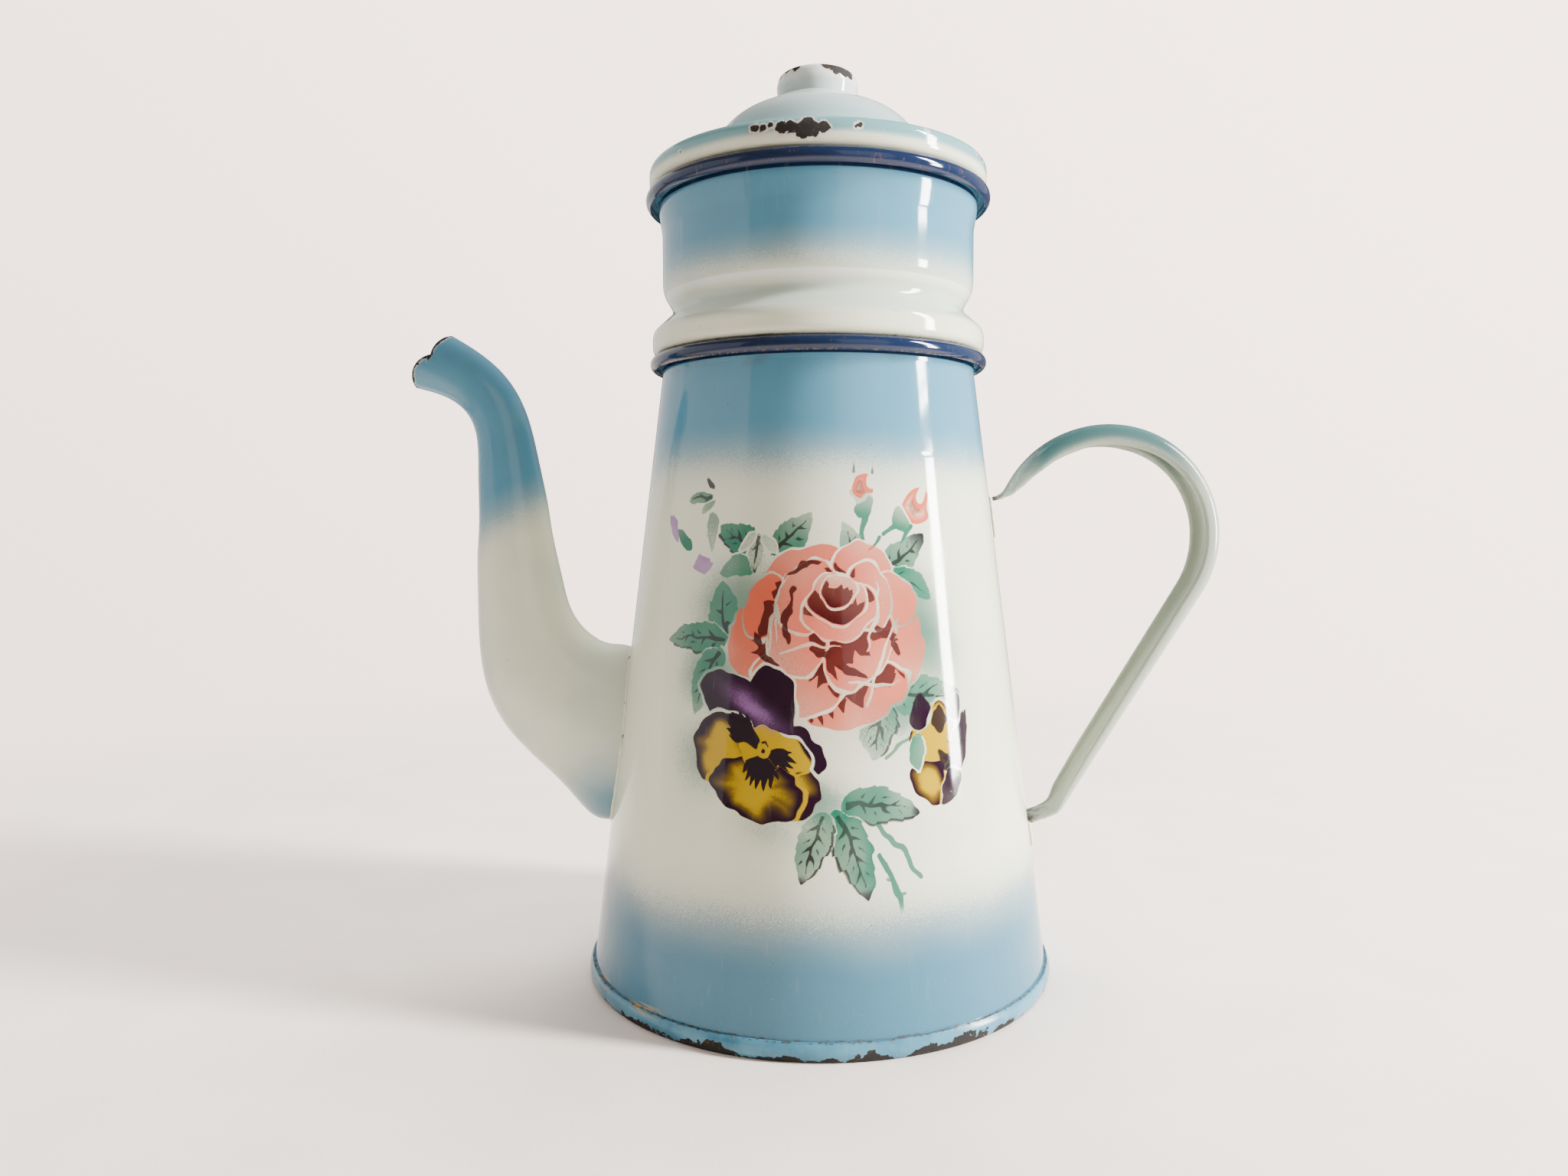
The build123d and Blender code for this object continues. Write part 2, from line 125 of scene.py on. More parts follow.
class Graph(Nodes):
    """A material's node tree; lengths are mm."""

    def __init__(self, name):
        self.material = bpy.data.materials.new(name)
        super().__init__(self.material)
        metres = self.node("TexCoord").outputs["Object"]
        self.place = self.node("VectorMath", {0: metres, "Scale": 1 / MM}, operation="SCALE").outputs[0]
        self.x, self.y, self.z = self.node("SeparateXYZ", {0: self.place}).outputs
        self.radius = self.length(self.x, self.y)

    def add(self, *values):
        return reduce(lambda a, b: self.calc("ADD", a, b), values)

    def times(self, *values):
        return reduce(lambda a, b: self.calc("MULTIPLY", a, b), values)

    def either(self, *masks):
        return reduce(lambda a, b: self.calc("MAXIMUM", a, b), masks)

    def scaled(self, value, factor, offset=0):
        return self.calc("MULTIPLY_ADD", value, factor, offset)

    def length(self, a, b):
        return self.calc("SQRT", self.add(self.times(a, a), self.times(b, b)))

    def reach(self, centre):
        """Distance from a point in the plane of symmetry, looking along Y."""
        return self.length(self.scaled(self.x, 1, -centre[0]), self.scaled(self.z, 1, -centre[1]))

    def step(self, value, low, high):
        limits = {"Value": value, "From Min": low, "From Max": high}
        return self.node("MapRange", limits, interpolation_type="SMOOTHSTEP").outputs["Result"]

    def band(self, value, low, high, soft):
        return self.times(self.step(value, low - soft, low + soft),
                          self.step(value, high + soft, high - soft))

    def mix(self, factor, a, b, blend="MIX"):
        # The colour mix has its factor, A and B at these inputs.
        return self.node("Mix", {0: factor, 6: a, 7: b}, data_type="RGBA", blend_type=blend).outputs[2]

    def texture(self, size, detail, rough, place):
        inputs = {"Vector": place, "Scale": 1 / size, "Detail": detail, "Roughness": rough}
        return self.node("TexNoise", inputs)

    def noise(self, size, detail=2, rough=0.5, stretch=None):
        place = self.place
        if stretch:
            place = self.node("Mapping", {"Scale": stretch, "Vector": place}).outputs[0]
        return self.texture(size, detail, rough, place).outputs["Fac"]

    def patches(self, low, high, *noise, **stretch):
        """Ragged patches: noise turned to 0 below low and 1 above high."""
        return self.step(self.noise(*noise, **stretch), low, high)

    def cells(self, size):
        """Distance to the nearest of scattered points, in cell sizes, and a random number for each."""
        node = self.node("TexVoronoi", {"Vector": self.place, "Scale": 1 / size})
        split = self.node("SeparateColor", {0: node.outputs["Color"]})
        return node.outputs["Distance"], split.outputs[0]

    def spray(self, value, low, high, grain=0.38, wander=3):
        """0 at low to 1 at high, wandering a little and broken into fine droplets."""
        drift = self.scaled(self.noise(26, 1), 2 * wander, -wander)
        shade = self.step(self.add(value, drift), low, high)
        drops = self.step(self.add(shade, self.scaled(self.noise(0.32, 2, 0.7), 1.5, -0.75)), 0.3, 0.7)
        return self.add(self.times(shade, 1 - grain), self.times(drops, grain))

    def spots(self, places, wobble=1.4, size=2.6):
        """How far inside the nearest of some ragged spots a point is; each spot is x, y, z, radius."""
        wander = self.texture(size, 4, 0.65, self.place).outputs["Color"]
        moved = self.node("VectorMath", {0: wander, 1: (2 * wobble,) * 3, 2: self.place},
                          operation="MULTIPLY_ADD").outputs[0]
        depths = []
        for x, y, z, radius in places:
            centre = (x + wobble, y + wobble, z + wobble)
            gap = self.node("VectorMath", {0: moved, 1: centre}, operation="DISTANCE").outputs["Value"]
            depths.append(self.calc("SUBTRACT", radius, gap))
        return self.either(*depths)

    def finish(self, colour, roughness, height, metallic=0, ior=1.5, alpha=1):
        """Joins colour, roughness and a height in mm to one surface shader."""
        bump = self.node("Bump", {"Distance": MM, "Strength": 1, "Height": height})
        shader = self.node("BsdfPrincipled", {
            "Base Color": colour, "Roughness": roughness, "Normal": bump.outputs[0],
            "Metallic": metallic, "IOR": ior, "Alpha": alpha})
        self.node("OutputMaterial", {0: shader.outputs[0]})
        return self.material

    def enamel(self, colour, chips=None, dirt=None, rust=None, gloss=0.065, halo_shade=0.85):
        """Glossy glaze with pinholes, smears and a faint ripple, and bare iron where it has chipped off.

        chips is a depth in mm inside the chipped places, negative outside them. gloss is the
        roughness of the clean glaze."""
        cloud = self.noise(30, 3, 0.6)
        colour = self.mix(self.scaled(cloud, 0.3, -0.1), colour, CLOUDING, "MULTIPLY")
        gap, pick = self.cells(4.5)
        pinholes = self.times(self.step(gap, 0.05, 0.025), self.step(pick, 0.72, 0.74))
        colour = self.mix(self.times(pinholes, 0.75), colour, GRIME)
        scuff = self.patches(0.6, 0.78, 3, 3, 0.6, stretch=(1, 1, 0.12))
        colour = self.mix(self.times(scuff, 0.05), colour, UNDERCOAT)
        smear = self.patches(0.42, 0.72, 14, 3, 0.55)
        roughness = self.scaled(smear, 0.06, gloss)
        peel = self.scaled(self.noise(1.6, 1), 0.0022)
        height = self.add(self.scaled(self.noise(19, 1), 0.035), peel, self.scaled(pinholes, -0.04))
        if rust is not None:
            colour = self.mix(rust, colour, RUST)
        if dirt is not None:
            crumbs = self.patches(0.52, 0.85, 1.1, 3)
            colour = self.mix(dirt, colour, self.mix(crumbs, GRIME, DUST))
            roughness = self.add(roughness, self.times(dirt, 0.35))
        if chips is not None:
            ragged = self.add(chips, self.scaled(self.noise(0.8, 3, 0.7), 0.9, -0.45))
            bare = self.step(ragged, -0.05, 0.1)
            halo = self.step(ragged, -0.75, -0.35)
            colour = self.mix(self.times(halo, halo_shade), colour, UNDERCOAT)
            rusted = self.patches(0.55, 0.75, 1.3, 4, 0.7)
            colour = self.mix(bare, colour, self.mix(self.scaled(rusted, 0.5), IRON, RUST))
            roughness = self.add(roughness, self.times(bare, 0.75))
            sunk = self.add(self.scaled(bare, -0.16), self.scaled(halo, -0.05 * halo_shade))
            grit = self.times(bare, self.scaled(self.noise(0.6, 3), 0.08))
            height = self.add(height, sunk, grit)
        return self.finish(colour, roughness, height, ior=GLAZE_IOR)


# ---- glazes

def pot_ground(g):
    """The pot's outer colour: blue above and below, a cream belt between them."""
    high = g.spray(g.z, 150, 175)
    low = g.spray(g.z, 54, 22)
    colour = g.mix(low, g.mix(high, CREAM, BLUE), FOOT_BLUE)
    specks = g.times(g.patches(0.66, 0.74, 0.55, 2, 0.6), g.patches(0.35, 0.65, 16, 2))
    return g.mix(g.scaled(specks, 0.45), colour, TEAL)


def tab_dirt(g, low, high):
    """Dark crust round the outline of one of the handle's tabs."""
    across = g.scaled(g.calc("ABSOLUTE", g.y), 1, -TAB_WIDTH / 2)
    along = g.scaled(g.calc("ABSOLUTE", g.scaled(g.z, 1, -(low + high) / 2)), 1, -(high - low) / 2)
    gap = g.calc("ABSOLUTE", g.calc("MAXIMUM", across, along))
    ragged = g.add(gap, g.scaled(g.noise(1.8, 3, 0.7), 2.6, -1.3))
    off_wall = g.calc("SUBTRACT", g.radius, g.scaled(g.z, -WALL_SLOPE, cone_r(0)))
    return g.times(g.step(ragged, 1.6, 0.6), g.step(g.x, 40, 45), g.step(off_wall, 4, 2))


def off_curl(g, radius, z, low, high):
    """0 to 1 from low to high away from the middle of a rolled mouth."""
    return g.step(g.length(g.scaled(g.radius, 1, -radius), g.scaled(g.z, 1, -z)), low, high)


def scrape(g):
    """A streaky scrape across the hem, low on the left of the front."""
    streaks = g.patches(0.49, 0.56, 1.3, 3, 0.6, stretch=(0.13, 0.13, 2.2))
    places = g.either(g.band(g.x, -56, -46, 2), g.band(g.x, -69, -65, 1.5))
    return g.times(streaks, places, g.times(g.step(g.y, 0, -10), g.band(g.z, 4.6, 6.9, 0.5)))


def pot_glaze():
    g = Graph("pot_glaze")
    colour = pot_ground(g)
    depth = g.calc("SUBTRACT", g.scaled(g.z, -WALL_SLOPE, cone_r(0)), g.radius)
    inside = g.times(g.step(depth, 0.4, 0.6), g.step(g.z, 195, 194))
    colour = g.mix(inside, colour, OFF_WHITE)
    rim = off_curl(g, POT_CURL_R, POT_CURL_Z, 1.7, 2)
    curl = g.times(rim, g.step(g.z, 193.2, 193.5))
    colour = g.mix(curl, colour, NAVY)
    # The underside of the curl's lower edge is darkened in patches.
    under = g.times(g.step(g.radius, 51.2, 52), g.band(g.z, 192.8, 194.2, 0.3))
    curl_underside_darkening = g.times(under, g.scaled(g.patches(0.44, 0.6, 2, 4, 0.7), 0.85))
    rust = g.times(curl, g.scaled(g.patches(0.64, 0.74, 3.2, 4, 0.7), 0.6))
    seam = g.times(g.band(g.z, 5.5, 6, 0.2), g.patches(0.5, 0.58, 1.3, 3, 0.7))
    colour = g.mix(scrape(g), colour, BARE_BRASS)
    # A patchy brown band darkens the wall just under the curl.
    brown_patches = g.times(g.band(g.z, 190.5, 193, 1.2), g.patches(0.48, 0.72, 11, 4, 0.65))
    colour = g.mix(g.scaled(brown_patches, 0.45), colour, DUST)
    dirt = g.either(curl_underside_darkening, seam, tab_dirt(g, *TOP_TAB_Z), tab_dirt(g, *FOOT_TAB_Z))
    return g.enamel(colour, dirt=dirt, rust=rust)


def base_glaze():
    g = Graph("base_glaze")
    colour = g.mix(g.patches(0.35, 0.7, 9, 3), HEM_BLUE, FOOT_BLUE)
    inside = g.times(g.step(g.z, 3.9, 4.2), g.step(g.radius, 73, 72.6))
    colour = g.mix(inside, colour, OFF_WHITE)
    front = g.step(g.y, -20, -62)
    field = g.scaled(g.noise(8, 4, 0.6), 17, -8.7)
    low_edge = g.scaled(g.z, -1, 1.3)
    chips = g.add(field, g.calc("MAXIMUM", low_edge, -3), g.scaled(front, 1.9, -1.2))
    foot = g.times(g.step(g.z, 0.5, 0.1), 0.8)
    top = g.times(g.step(g.z, 5.1, 5.4), g.patches(0.45, 0.6, 1.4, 3))
    colour = g.mix(scrape(g), colour, BARE_BRASS)
    return g.enamel(colour, chips=chips, dirt=g.either(foot, top), gloss=0.22, halo_shade=0)


def circle_through(a, b, c):
    """Centre and radius of the circle through three points."""
    (ax, az), (bx, bz), (cx, cz) = a, b, c
    d = 2 * (ax * (bz - cz) + bx * (cz - az) + cx * (az - bz))
    a2, b2, c2 = ax * ax + az * az, bx * bx + bz * bz, cx * cx + cz * cz
    centre = ((a2 * (bz - cz) + b2 * (cz - az) + c2 * (az - bz)) / d,
              (a2 * (cx - bx) + b2 * (ax - cx) + c2 * (bx - ax)) / d)
    return centre, hypot(ax - centre[0], az - centre[1])


def spout_glaze():
    g = Graph("spout_glaze")
    slant = g.add(g.z, g.scaled(g.x, -0.6, -66))
    # Large random patches of the greyed cream vary the spout's tone.
    tint = g.scaled(g.patches(0.38, 0.66, 34, 2), 0.35)
    colour = g.mix(g.spray(slant, 127, 153, 0.3), g.mix(tint, CREAM, SHADE_AND_TINT_CREAM), BLUE)
    root = g.times(g.step(g.z, 80, 55), g.step(g.x, -96, -68))
    colour = g.mix(g.times(root, 0.85), colour, BLUE)
    rims = []
    for start, swell, end in (LIP_FOOT, LIP_SWELL, LIP_NOTCH), (LIP_NOTCH, LOBE_SWELL, LOBE_TOP):
        centre, radius = circle_through(start, swell, end)
        gap = g.calc("ABSOLUTE", g.scaled(g.reach(centre), 1, -radius))
        run, rise = end[0] - start[0], end[1] - start[1]
        chord = hypot(run, rise)
        beyond = g.add(g.scaled(g.x, -rise / chord), g.scaled(g.z, run / chord))
        level = (start[1] * run - start[0] * rise) / chord
        rims.append(g.add(g.scaled(gap, -1), g.scaled(g.step(beyond, level - 1.5, level - 0.6), 20, -20)))
    chips = g.add(g.either(*rims), g.scaled(g.noise(2.2, 4, 0.65), 2.6, -0.7))
    return g.enamel(colour, chips=chips, gloss=0.09, halo_shade=0.3)


def handle_glaze():
    g = Graph("handle_glaze")
    outward = g.spray(g.reach(ARCH_CENTRE), 29, 33, 0.3, 0.8)
    reach = g.times(g.step(g.x, 62, 74), g.step(g.z, 152, 162), g.step(g.x, 128, 110))
    colour = g.mix(g.scaled(g.times(outward, reach), 0.95), HANDLE_GREY, HANDLE_TEAL)
    crust = g.either(tab_dirt(g, *TOP_TAB_Z), tab_dirt(g, *FOOT_TAB_Z))
    streak = g.times(g.step(g.x, 66, 58), g.patches(0.5, 0.62, 2.4, 4, 0.7))
    foot = g.times(g.step(g.z, 52, 47), g.patches(0.47, 0.6, 2, 4, 0.7))
    rub = g.scaled(g.patches(0.72, 0.78, 1.2, 4, 0.75), 0.5)
    return g.enamel(colour, dirt=g.either(crust, streak, foot, rub), gloss=0.13)


def filter_glaze():
    g = Graph("filter_glaze")
    drum = g.spray(g.z, 209.5, 231, 0.3, 1.8)
    # Painted shade: the waist below the drum's belly is greyed with the shaded cream.
    waist = g.band(g.z, 205.8, 214, 2)
    colour = g.mix(drum, g.mix(g.times(waist, 0.55), CREAM, SHADE_AND_TINT_CREAM), BLUE)
    inner = g.calc("SUBTRACT", 48.9, g.radius)
    inside = g.times(g.step(inner, 0, 0.2), g.step(g.z, 214.5, 216.5))
    colour = g.mix(inside, colour, OFF_WHITE)
    rim = off_curl(g, FILTER_CURL_R, FILTER_CURL_Z, 1.8, 2.1)
    curl = g.times(rim, g.step(g.z, 244.2, 244.6))
    colour = g.mix(curl, colour, NAVY)
    rust = g.times(curl, g.scaled(g.patches(0.63, 0.72, 3.6, 4, 0.7), 0.6))
    groove = g.times(g.band(g.z, 198, 198.7, 0.2), g.scaled(g.patches(0.5, 0.65, 2.5, 3), 0.5))
    scratch = g.patches(0.66, 0.72, 2.2, 4, 0.7, stretch=(0.3, 0.3, 2.5))
    scratch = g.times(g.band(g.z, 198.5, 206, 0.5), scratch)
    return g.enamel(colour, dirt=g.either(groove, g.times(scratch, 0.6)), rust=rust)


def on_bead(x, z, radius):
    """A chip on the front of the lid's bead."""
    return (x, -(LID_BEAD_R * LID_BEAD_R - x * x) ** 0.5, z, radius)


def lid_glaze():
    g = Graph("lid_glaze")
    bead = g.times(g.step(g.radius, 40.5, 43.5), g.spray(g.z, 251.8, 254.6, 0.2, 0.8))
    skirt = g.step(g.z, 262, 256)
    colour = g.mix(g.times(g.spray(g.radius, 13, 40, 0.25, 1), 0.8), OFF_WHITE, TEAL)
    colour = g.mix(g.step(g.radius, 42, 46), colour, CREAM)
    colour = g.mix(bead, colour, TEAL)
    colour = g.mix(g.times(skirt, g.step(g.radius, 48.5, 48.1)), colour, g.mix(bead, OFF_WHITE, TEAL))
    # Painted shade: the knob's lower band is tinted teal all round, where shade falls under its top.
    knob_painted_shade = g.times(g.band(g.z, 278.5, 283.5, 1.5), g.step(g.radius, 15, 13.5))
    colour = g.mix(g.times(knob_painted_shade, 0.35), colour, TEAL)
    bead_chips = (
        (-11.5, 254.4, 1.7), (-8.6, 254.2, 2), (-5.6, 253.2, 2.3), (-2.6, 253.4, 2.2),
        (0.2, 254, 1.7), (-4.2, 255.6, 1.8), (-18.8, 254.8, 1), (-16.6, 254.6, 1.1),
        (-14.6, 255.2, 0.8), (9.8, 254.8, 0.9), (49.3, 255.6, 1.2), (47, 256.2, 0.9),
        (-41, 253.4, 0.3), (30, 256, 0.5),
    )
    knob_chips = (
        (2.6, -11, 287, 2), (5.2, -10.9, 286.4, 2.2), (7.8, -9.8, 286, 2),
        (9.8, -8, 285.6, 1.8), (5.6, -12, 284.8, 1.2), (-6.8, -9.4, 287.2, 1.7),
        (-9.2, -7.2, 286.8, 1.3), (-11.2, -4.4, 286.2, 1.1), (10.8, 4, 286.4, 1.4),
        (8.6, 7.4, 286.8, 1.2), (-4.4, 10.6, 286.2, 1),
    )
    back_chips = ((-30, 44.2, 255.2, 1.6), (-27, 46.2, 254.6, 1.2), (38, 37.4, 255.4, 1))
    chips = g.spots([*(on_bead(*chip) for chip in bead_chips), *knob_chips, *back_chips], 1.3, 2.4)
    drips = g.times(g.band(g.z, 249.2, 250, 0.2), g.patches(0.6, 0.7, 3, 4))
    return g.enamel(colour, chips=chips, dirt=g.times(drips, 0.5))


def inside_glaze():
    g = Graph("inside_glaze")
    brown_patches = g.times(g.patches(0.45, 0.72, 12, 4, 0.65), 0.45)
    colour = g.mix(brown_patches, OFF_WHITE, COFFEE_STAIN)
    rim = g.times(g.step(g.z, 145.8, 146.6), g.step(g.radius, 47, 47.4))
    return g.enamel(colour, dirt=g.times(rim, g.patches(0.4, 0.6, 2, 3)), gloss=0.15)


def tinned():
    g = Graph("tinned_steel")
    cloud = g.patches(0.35, 0.72, 9, 4, 0.6)
    colour = g.mix(cloud, (0.52, 0.5, 0.46), (0.33, 0.31, 0.28))
    brown_patches = g.patches(0.6, 0.72, 3.5, 4, 0.7)
    colour = g.mix(g.times(brown_patches, 0.6), colour, (0.16, 0.1, 0.055))
    brushed = g.noise(0.7, 2, 0.6, stretch=(0.05, 1, 1))
    roughness = g.add(g.scaled(cloud, 0.16, 0.26), g.times(brown_patches, 0.2))
    height = g.add(g.scaled(brushed, 0.012), g.scaled(g.noise(15, 1), 0.06))
    return g.finish(colour, roughness, height, metallic=0.9)


def rivet_metal():
    g = Graph("rivet_steel")
    pits = g.patches(0.55, 0.68, 0.7, 3, 0.7)
    colour = g.mix(pits, (0.46, 0.43, 0.38), (0.17, 0.11, 0.07))
    return g.finish(colour, g.scaled(pits, 0.3, 0.34), g.scaled(pits, -0.05), metallic=0.85)


def turned_metal():
    g = Graph("turned_knob")
    cloud = g.patches(0.4, 0.7, 4, 4, 0.65)
    colour = g.mix(cloud, (0.5, 0.48, 0.44), (0.27, 0.24, 0.2))
    grooves = g.noise(0.5, 2, 0.5, stretch=(0.04, 0.04, 1))
    return g.finish(colour, g.scaled(cloud, 0.2, 0.28), g.scaled(grooves, 0.03), metallic=0.9)


def weld_scale():
    """Bare, crusted metal where the enamel never took along a joint."""
    g = Graph("joint_crust")
    crust = g.patches(0.38, 0.62, 1, 4, 0.7)
    glazed = g.patches(0.34, 0.42, 4, 3, 0.6)
    colour = g.mix(glazed, g.mix(crust, (0.035, 0.045, 0.05), RUST), CREAM)
    return g.finish(colour, g.scaled(crust, 0.3, 0.35), g.scaled(g.noise(0.6, 3, 0.7), 0.12))


# ---- flower print

# The print is drawn on the pot's front as it would be with stencils and an airbrush. U is the way
# round the wall and V the height. GRID is the spacing of its points.
GRID = 0.42
# What an ink's edge field holds where no cut-out is near.
FAR_OUT = -4.0
PRINT_U, PRINT_V = (-54.6, 55), (28, 167.5)
ROSE_HEART, PANSY_EYE = (-14, 107), (9.8, 86)
U, V = np.meshgrid(np.arange(*PRINT_U, GRID), np.arange(*PRINT_V, GRID))


def drift(size, seed):
    """Smooth random field between -1 and 1 over the print."""
    lattice = 80
    grid = np.random.default_rng(seed).uniform(-1, 1, (lattice, lattice))
    p, q = (U - PRINT_U[0]) / size, (V - PRINT_V[0]) / size
    i, j = p.astype(int), q.astype(int)
    fp, fq = p - i, q - j
    fp, fq = fp * fp * (3 - 2 * fp), fq * fq * (3 - 2 * fq)
    i, j = i % (lattice - 1), j % (lattice - 1)
    low = grid[j, i] * (1 - fp) + grid[j, i + 1] * fp
    high = grid[j + 1, i] * (1 - fp) + grid[j + 1, i + 1] * fp
    return low * (1 - fq) + high * fq


def ramp(value, low, high):
    """0 at low to 1 at high, eased at both ends."""
    t = np.clip((value - low) / (high - low), 0, 1)
    return t * t * (3 - 2 * t)


class Ink:
    """One stencilled colour: how far inside its cut-outs each point is, and how heavy its spray is."""

    def __init__(self, name, tint):
        self.name, self.tint = name, tint
        self.edge = np.full(U.shape, FAR_OUT)
        self.spray = np.zeros(U.shape)
        self.mist = np.zeros(U.shape)

    def add(self, edge, spray=1):
        wins = edge > self.edge
        self.edge = np.where(wins, edge, self.edge)
        self.spray = np.where(wins, spray, self.spray)

    def clear(self, edge):
        self.edge = np.minimum(self.edge, -edge)

    def puff(self, at, size, amount):
        """A soft cloud of spray beside the stencils."""
        near = ((paper.u - at[0]) / size[0]) ** 2 + ((paper.v - at[1]) / size[1]) ** 2
        self.mist = np.maximum(self.mist, 1.9 * amount * np.exp(-near * 1.4))


INKS = green, coral, crimson, yellow, plum, violet, dark = (
    Ink("green", (0.012, 0.135, 0.08)), Ink("coral", (0.56, 0.095, 0.05)),
    Ink("crimson", (0.038, 0.003, 0.005)), Ink("yellow", (0.41, 0.265, 0)),
    Ink("plum", (0.014, 0.003, 0.012)), Ink("violet", (0.27, 0.13, 0.33)),
    Ink("dark", (0.014, 0.008, 0.012)))


def clear(edge, *inks):
    """Masks a shape out of some inks."""
    for ink in inks:
        ink.clear(edge)


# The shake of a hand-cut stencil.
shake_u, shake_v = 0.7 * drift(3.2, 1), 0.7 * drift(3.2, 2)


class Paper:
    """Where the next stencils are laid: turned or mirrored about a point, then moved."""

    def lay(self, about=(0, 0), move=(0, 0), turn=0, mirrored=False):
        c, s = cos(radians(turn)), sin(radians(turn))
        du, dv = U + shake_u - about[0] - move[0], V + shake_v - about[1] - move[1]
        along, self.v = du * c + dv * s, about[1] + dv * c - du * s
        self.u = about[0] + (-along if mirrored else along)


paper = Paper()
paper.lay()


def local(at, angle):
    """Coordinates along and across a direction from a point, with a hand-cut shake."""
    c, s = cos(radians(angle)), sin(radians(angle))
    du, dv = paper.u - at[0], paper.v - at[1]
    return du * c + dv * s, dv * c - du * s


def blob(at, size, angle=0, lobes=0, ruffle=0, phase=0):
    """An oval with a ruffled outline."""
    p, q = local(at, angle)
    turn = np.arctan2(q / size[1], p / size[0])
    waves = np.cos(lobes * turn + phase) + 0.5 * np.cos((2 * lobes - 1) * turn + 2 * phase)
    reach = 1 + ruffle * waves
    return (reach - np.hypot(p / size[0], q / size[1])) * min(size)


def stroke(points, widths):
    """A brushed line through points, its width running from the first to the last of widths."""
    best = np.full(U.shape, FAR_OUT)
    count = len(points) - 1
    for k, ((u0, v0), (u1, v1)) in enumerate(zip(points, points[1:])):
        length = hypot(u1 - u0, v1 - v0)
        p, q = local((u0, v0), degrees(atan2(v1 - v0, u1 - u0)))
        t = np.clip(p / length, 0, 1)
        width = np.interp((k + t) / count, np.linspace(0, 1, len(widths)), widths)
        best = np.maximum(best, width / 2 - np.hypot(p - t * length, q))
    return best


def leaf(at, tip, width, teeth, bow, tone, veins, tipped=0, rim=0, skew=0):
    """A toothed leaf: green spray, dark veins with gaps between them, and sometimes a plum tip."""
    length = hypot(tip[0] - at[0], tip[1] - at[1])
    p, q = local(at, degrees(atan2(tip[1] - at[1], tip[0] - at[0])))
    s = np.clip(p / length, 0, 1)
    q = q - bow * 4 * s * (1 - s)
    half = width / 2 * np.sin(pi * s ** 0.78) ** 0.72
    half = half * (1 + 0.13 * (((s * teeth + 0.35 * np.sign(q)) % 1) - 0.5))
    edge = np.minimum(half - np.abs(q), np.minimum(p, length - p) + 0.2)
    side = 0.5 + 0.5 * np.clip(q / (half + 0.3), -1, 1) * (1 if skew >= 0 else -1)
    spray = tone[0] + (tone[1] - tone[0]) * (abs(skew) * side + (1 - abs(skew)) * s)
    clear(edge + 0.5, green, coral, crimson, yellow, plum, dark)
    green.add(edge, np.clip(spray + 0.08 + 0.12 * drift(7, 5), 0, 1))
    if tipped:
        plum.add(np.minimum(edge, p - (1 - tipped) * length), ramp(p / length, 1 - tipped, 1.02) * 0.95)
    if not veins:
        return
    inner = edge - 0.45
    line = np.minimum(0.62 * (1.15 - s) - np.abs(q), np.minimum(p - 0.06 * length, 0.86 * length - p))
    for k in range(veins):
        for sign in (1, -1):
            start = (0.16 + 0.62 * (k + 0.25 * (sign > 0)) / veins) * length
            out = q * sign
            along = p - start - 0.95 * out - 0.25 * np.sin(out * 1.7 + k)
            thick = 0.56 * (1 - out / (0.8 * half + 0.01))
            begin = 0 if (k + (sign > 0)) % 2 else 0.28
            line = np.maximum(line, np.minimum(thick - np.abs(along) * 0.7, out - begin * half))
    if rim:
        under = 0.42 - np.abs(edge - 0.1)
        ends = np.minimum(s - 0.12, 0.92 - s) * length
        line = np.maximum(line, np.minimum(under, np.minimum(q * rim, ends)))
        inner = edge + 0.6
    dark.add(np.minimum(line, inner), 0.55 + 0.4 * (0.5 + 0.5 * drift(9, 6)))


def ragged(value, teeth, depth, seed):
    """A torn edge: uneven pointed teeth along an angle or a length."""
    t = value * teeth + 0.6 * np.sin(value * 3.1 + seed)
    saw = np.abs((t % 1) - 0.5) * 2
    return depth * (saw ** 0.8 - 0.5) * (0.75 + 0.45 * np.sin(np.floor(t) * 2.4 + seed))


def petal(at, size, angle, heart, shade, teeth, lobes, phase, tone, ruffle=0.03):
    """A rose petal: a pale gap round it, coral spray, and crimson torn from the heart's side."""
    edge = blob(at, size, angle, lobes, ruffle, phase)
    clear(edge + 0.52 + 0.3 * drift(2.6, 15), green, coral, crimson, dark)
    toward = degrees(atan2(heart[1] - at[1], heart[0] - at[0]))
    p, q = local(at, toward)
    reach = max(size)
    spray = tone[1] + 0.1 + (tone[0] - tone[1]) * (0.5 + p / reach * 0.8) + 0.08 * drift(8, 9)
    coral.add(edge, np.clip(spray, 0.2, 1))
    cut = p - (0.35 - shade) * 1.7 * reach - ragged(q / reach, teeth, 0.34 * reach, phase)
    crimson.add(np.minimum(edge - 0.25, cut), 0.85 + 0.15 * ramp(p / reach, 0, 1))


def fan(eye, angle, spread, reach, teeth):
    """A dark blotch on a pansy petal that ends in torn rays."""
    p, q = local(eye, angle)
    turn = np.degrees(np.arctan2(q, p))
    rho = np.hypot(p, q)
    saw = np.abs(((turn + 90) / (2 * spread) * teeth) % 1 - 0.5) * 2
    outer = reach * (0.7 + 0.3 * saw) * np.sqrt(np.clip(1 - (turn / spread) ** 2 * 0.55, 0, 1))
    inside = np.minimum(outer - rho, (spread - np.abs(turn)) * np.radians(1) * rho)
    return np.minimum(inside, rho - 2.2)


def pansy_petal(at, size, angle, lobes, phase, rim):
    """A yellow petal with a plum rim."""
    edge = blob(at, size, angle, lobes, 0.035, phase)
    clear(edge + 0.7, green, coral, crimson, plum, violet, dark)
    yellow.add(edge)
    ring = 1 - ramp(edge + 1.6 * drift(5, 12), rim * 0.1, rim)
    plum.add(edge, ring ** 1.3)


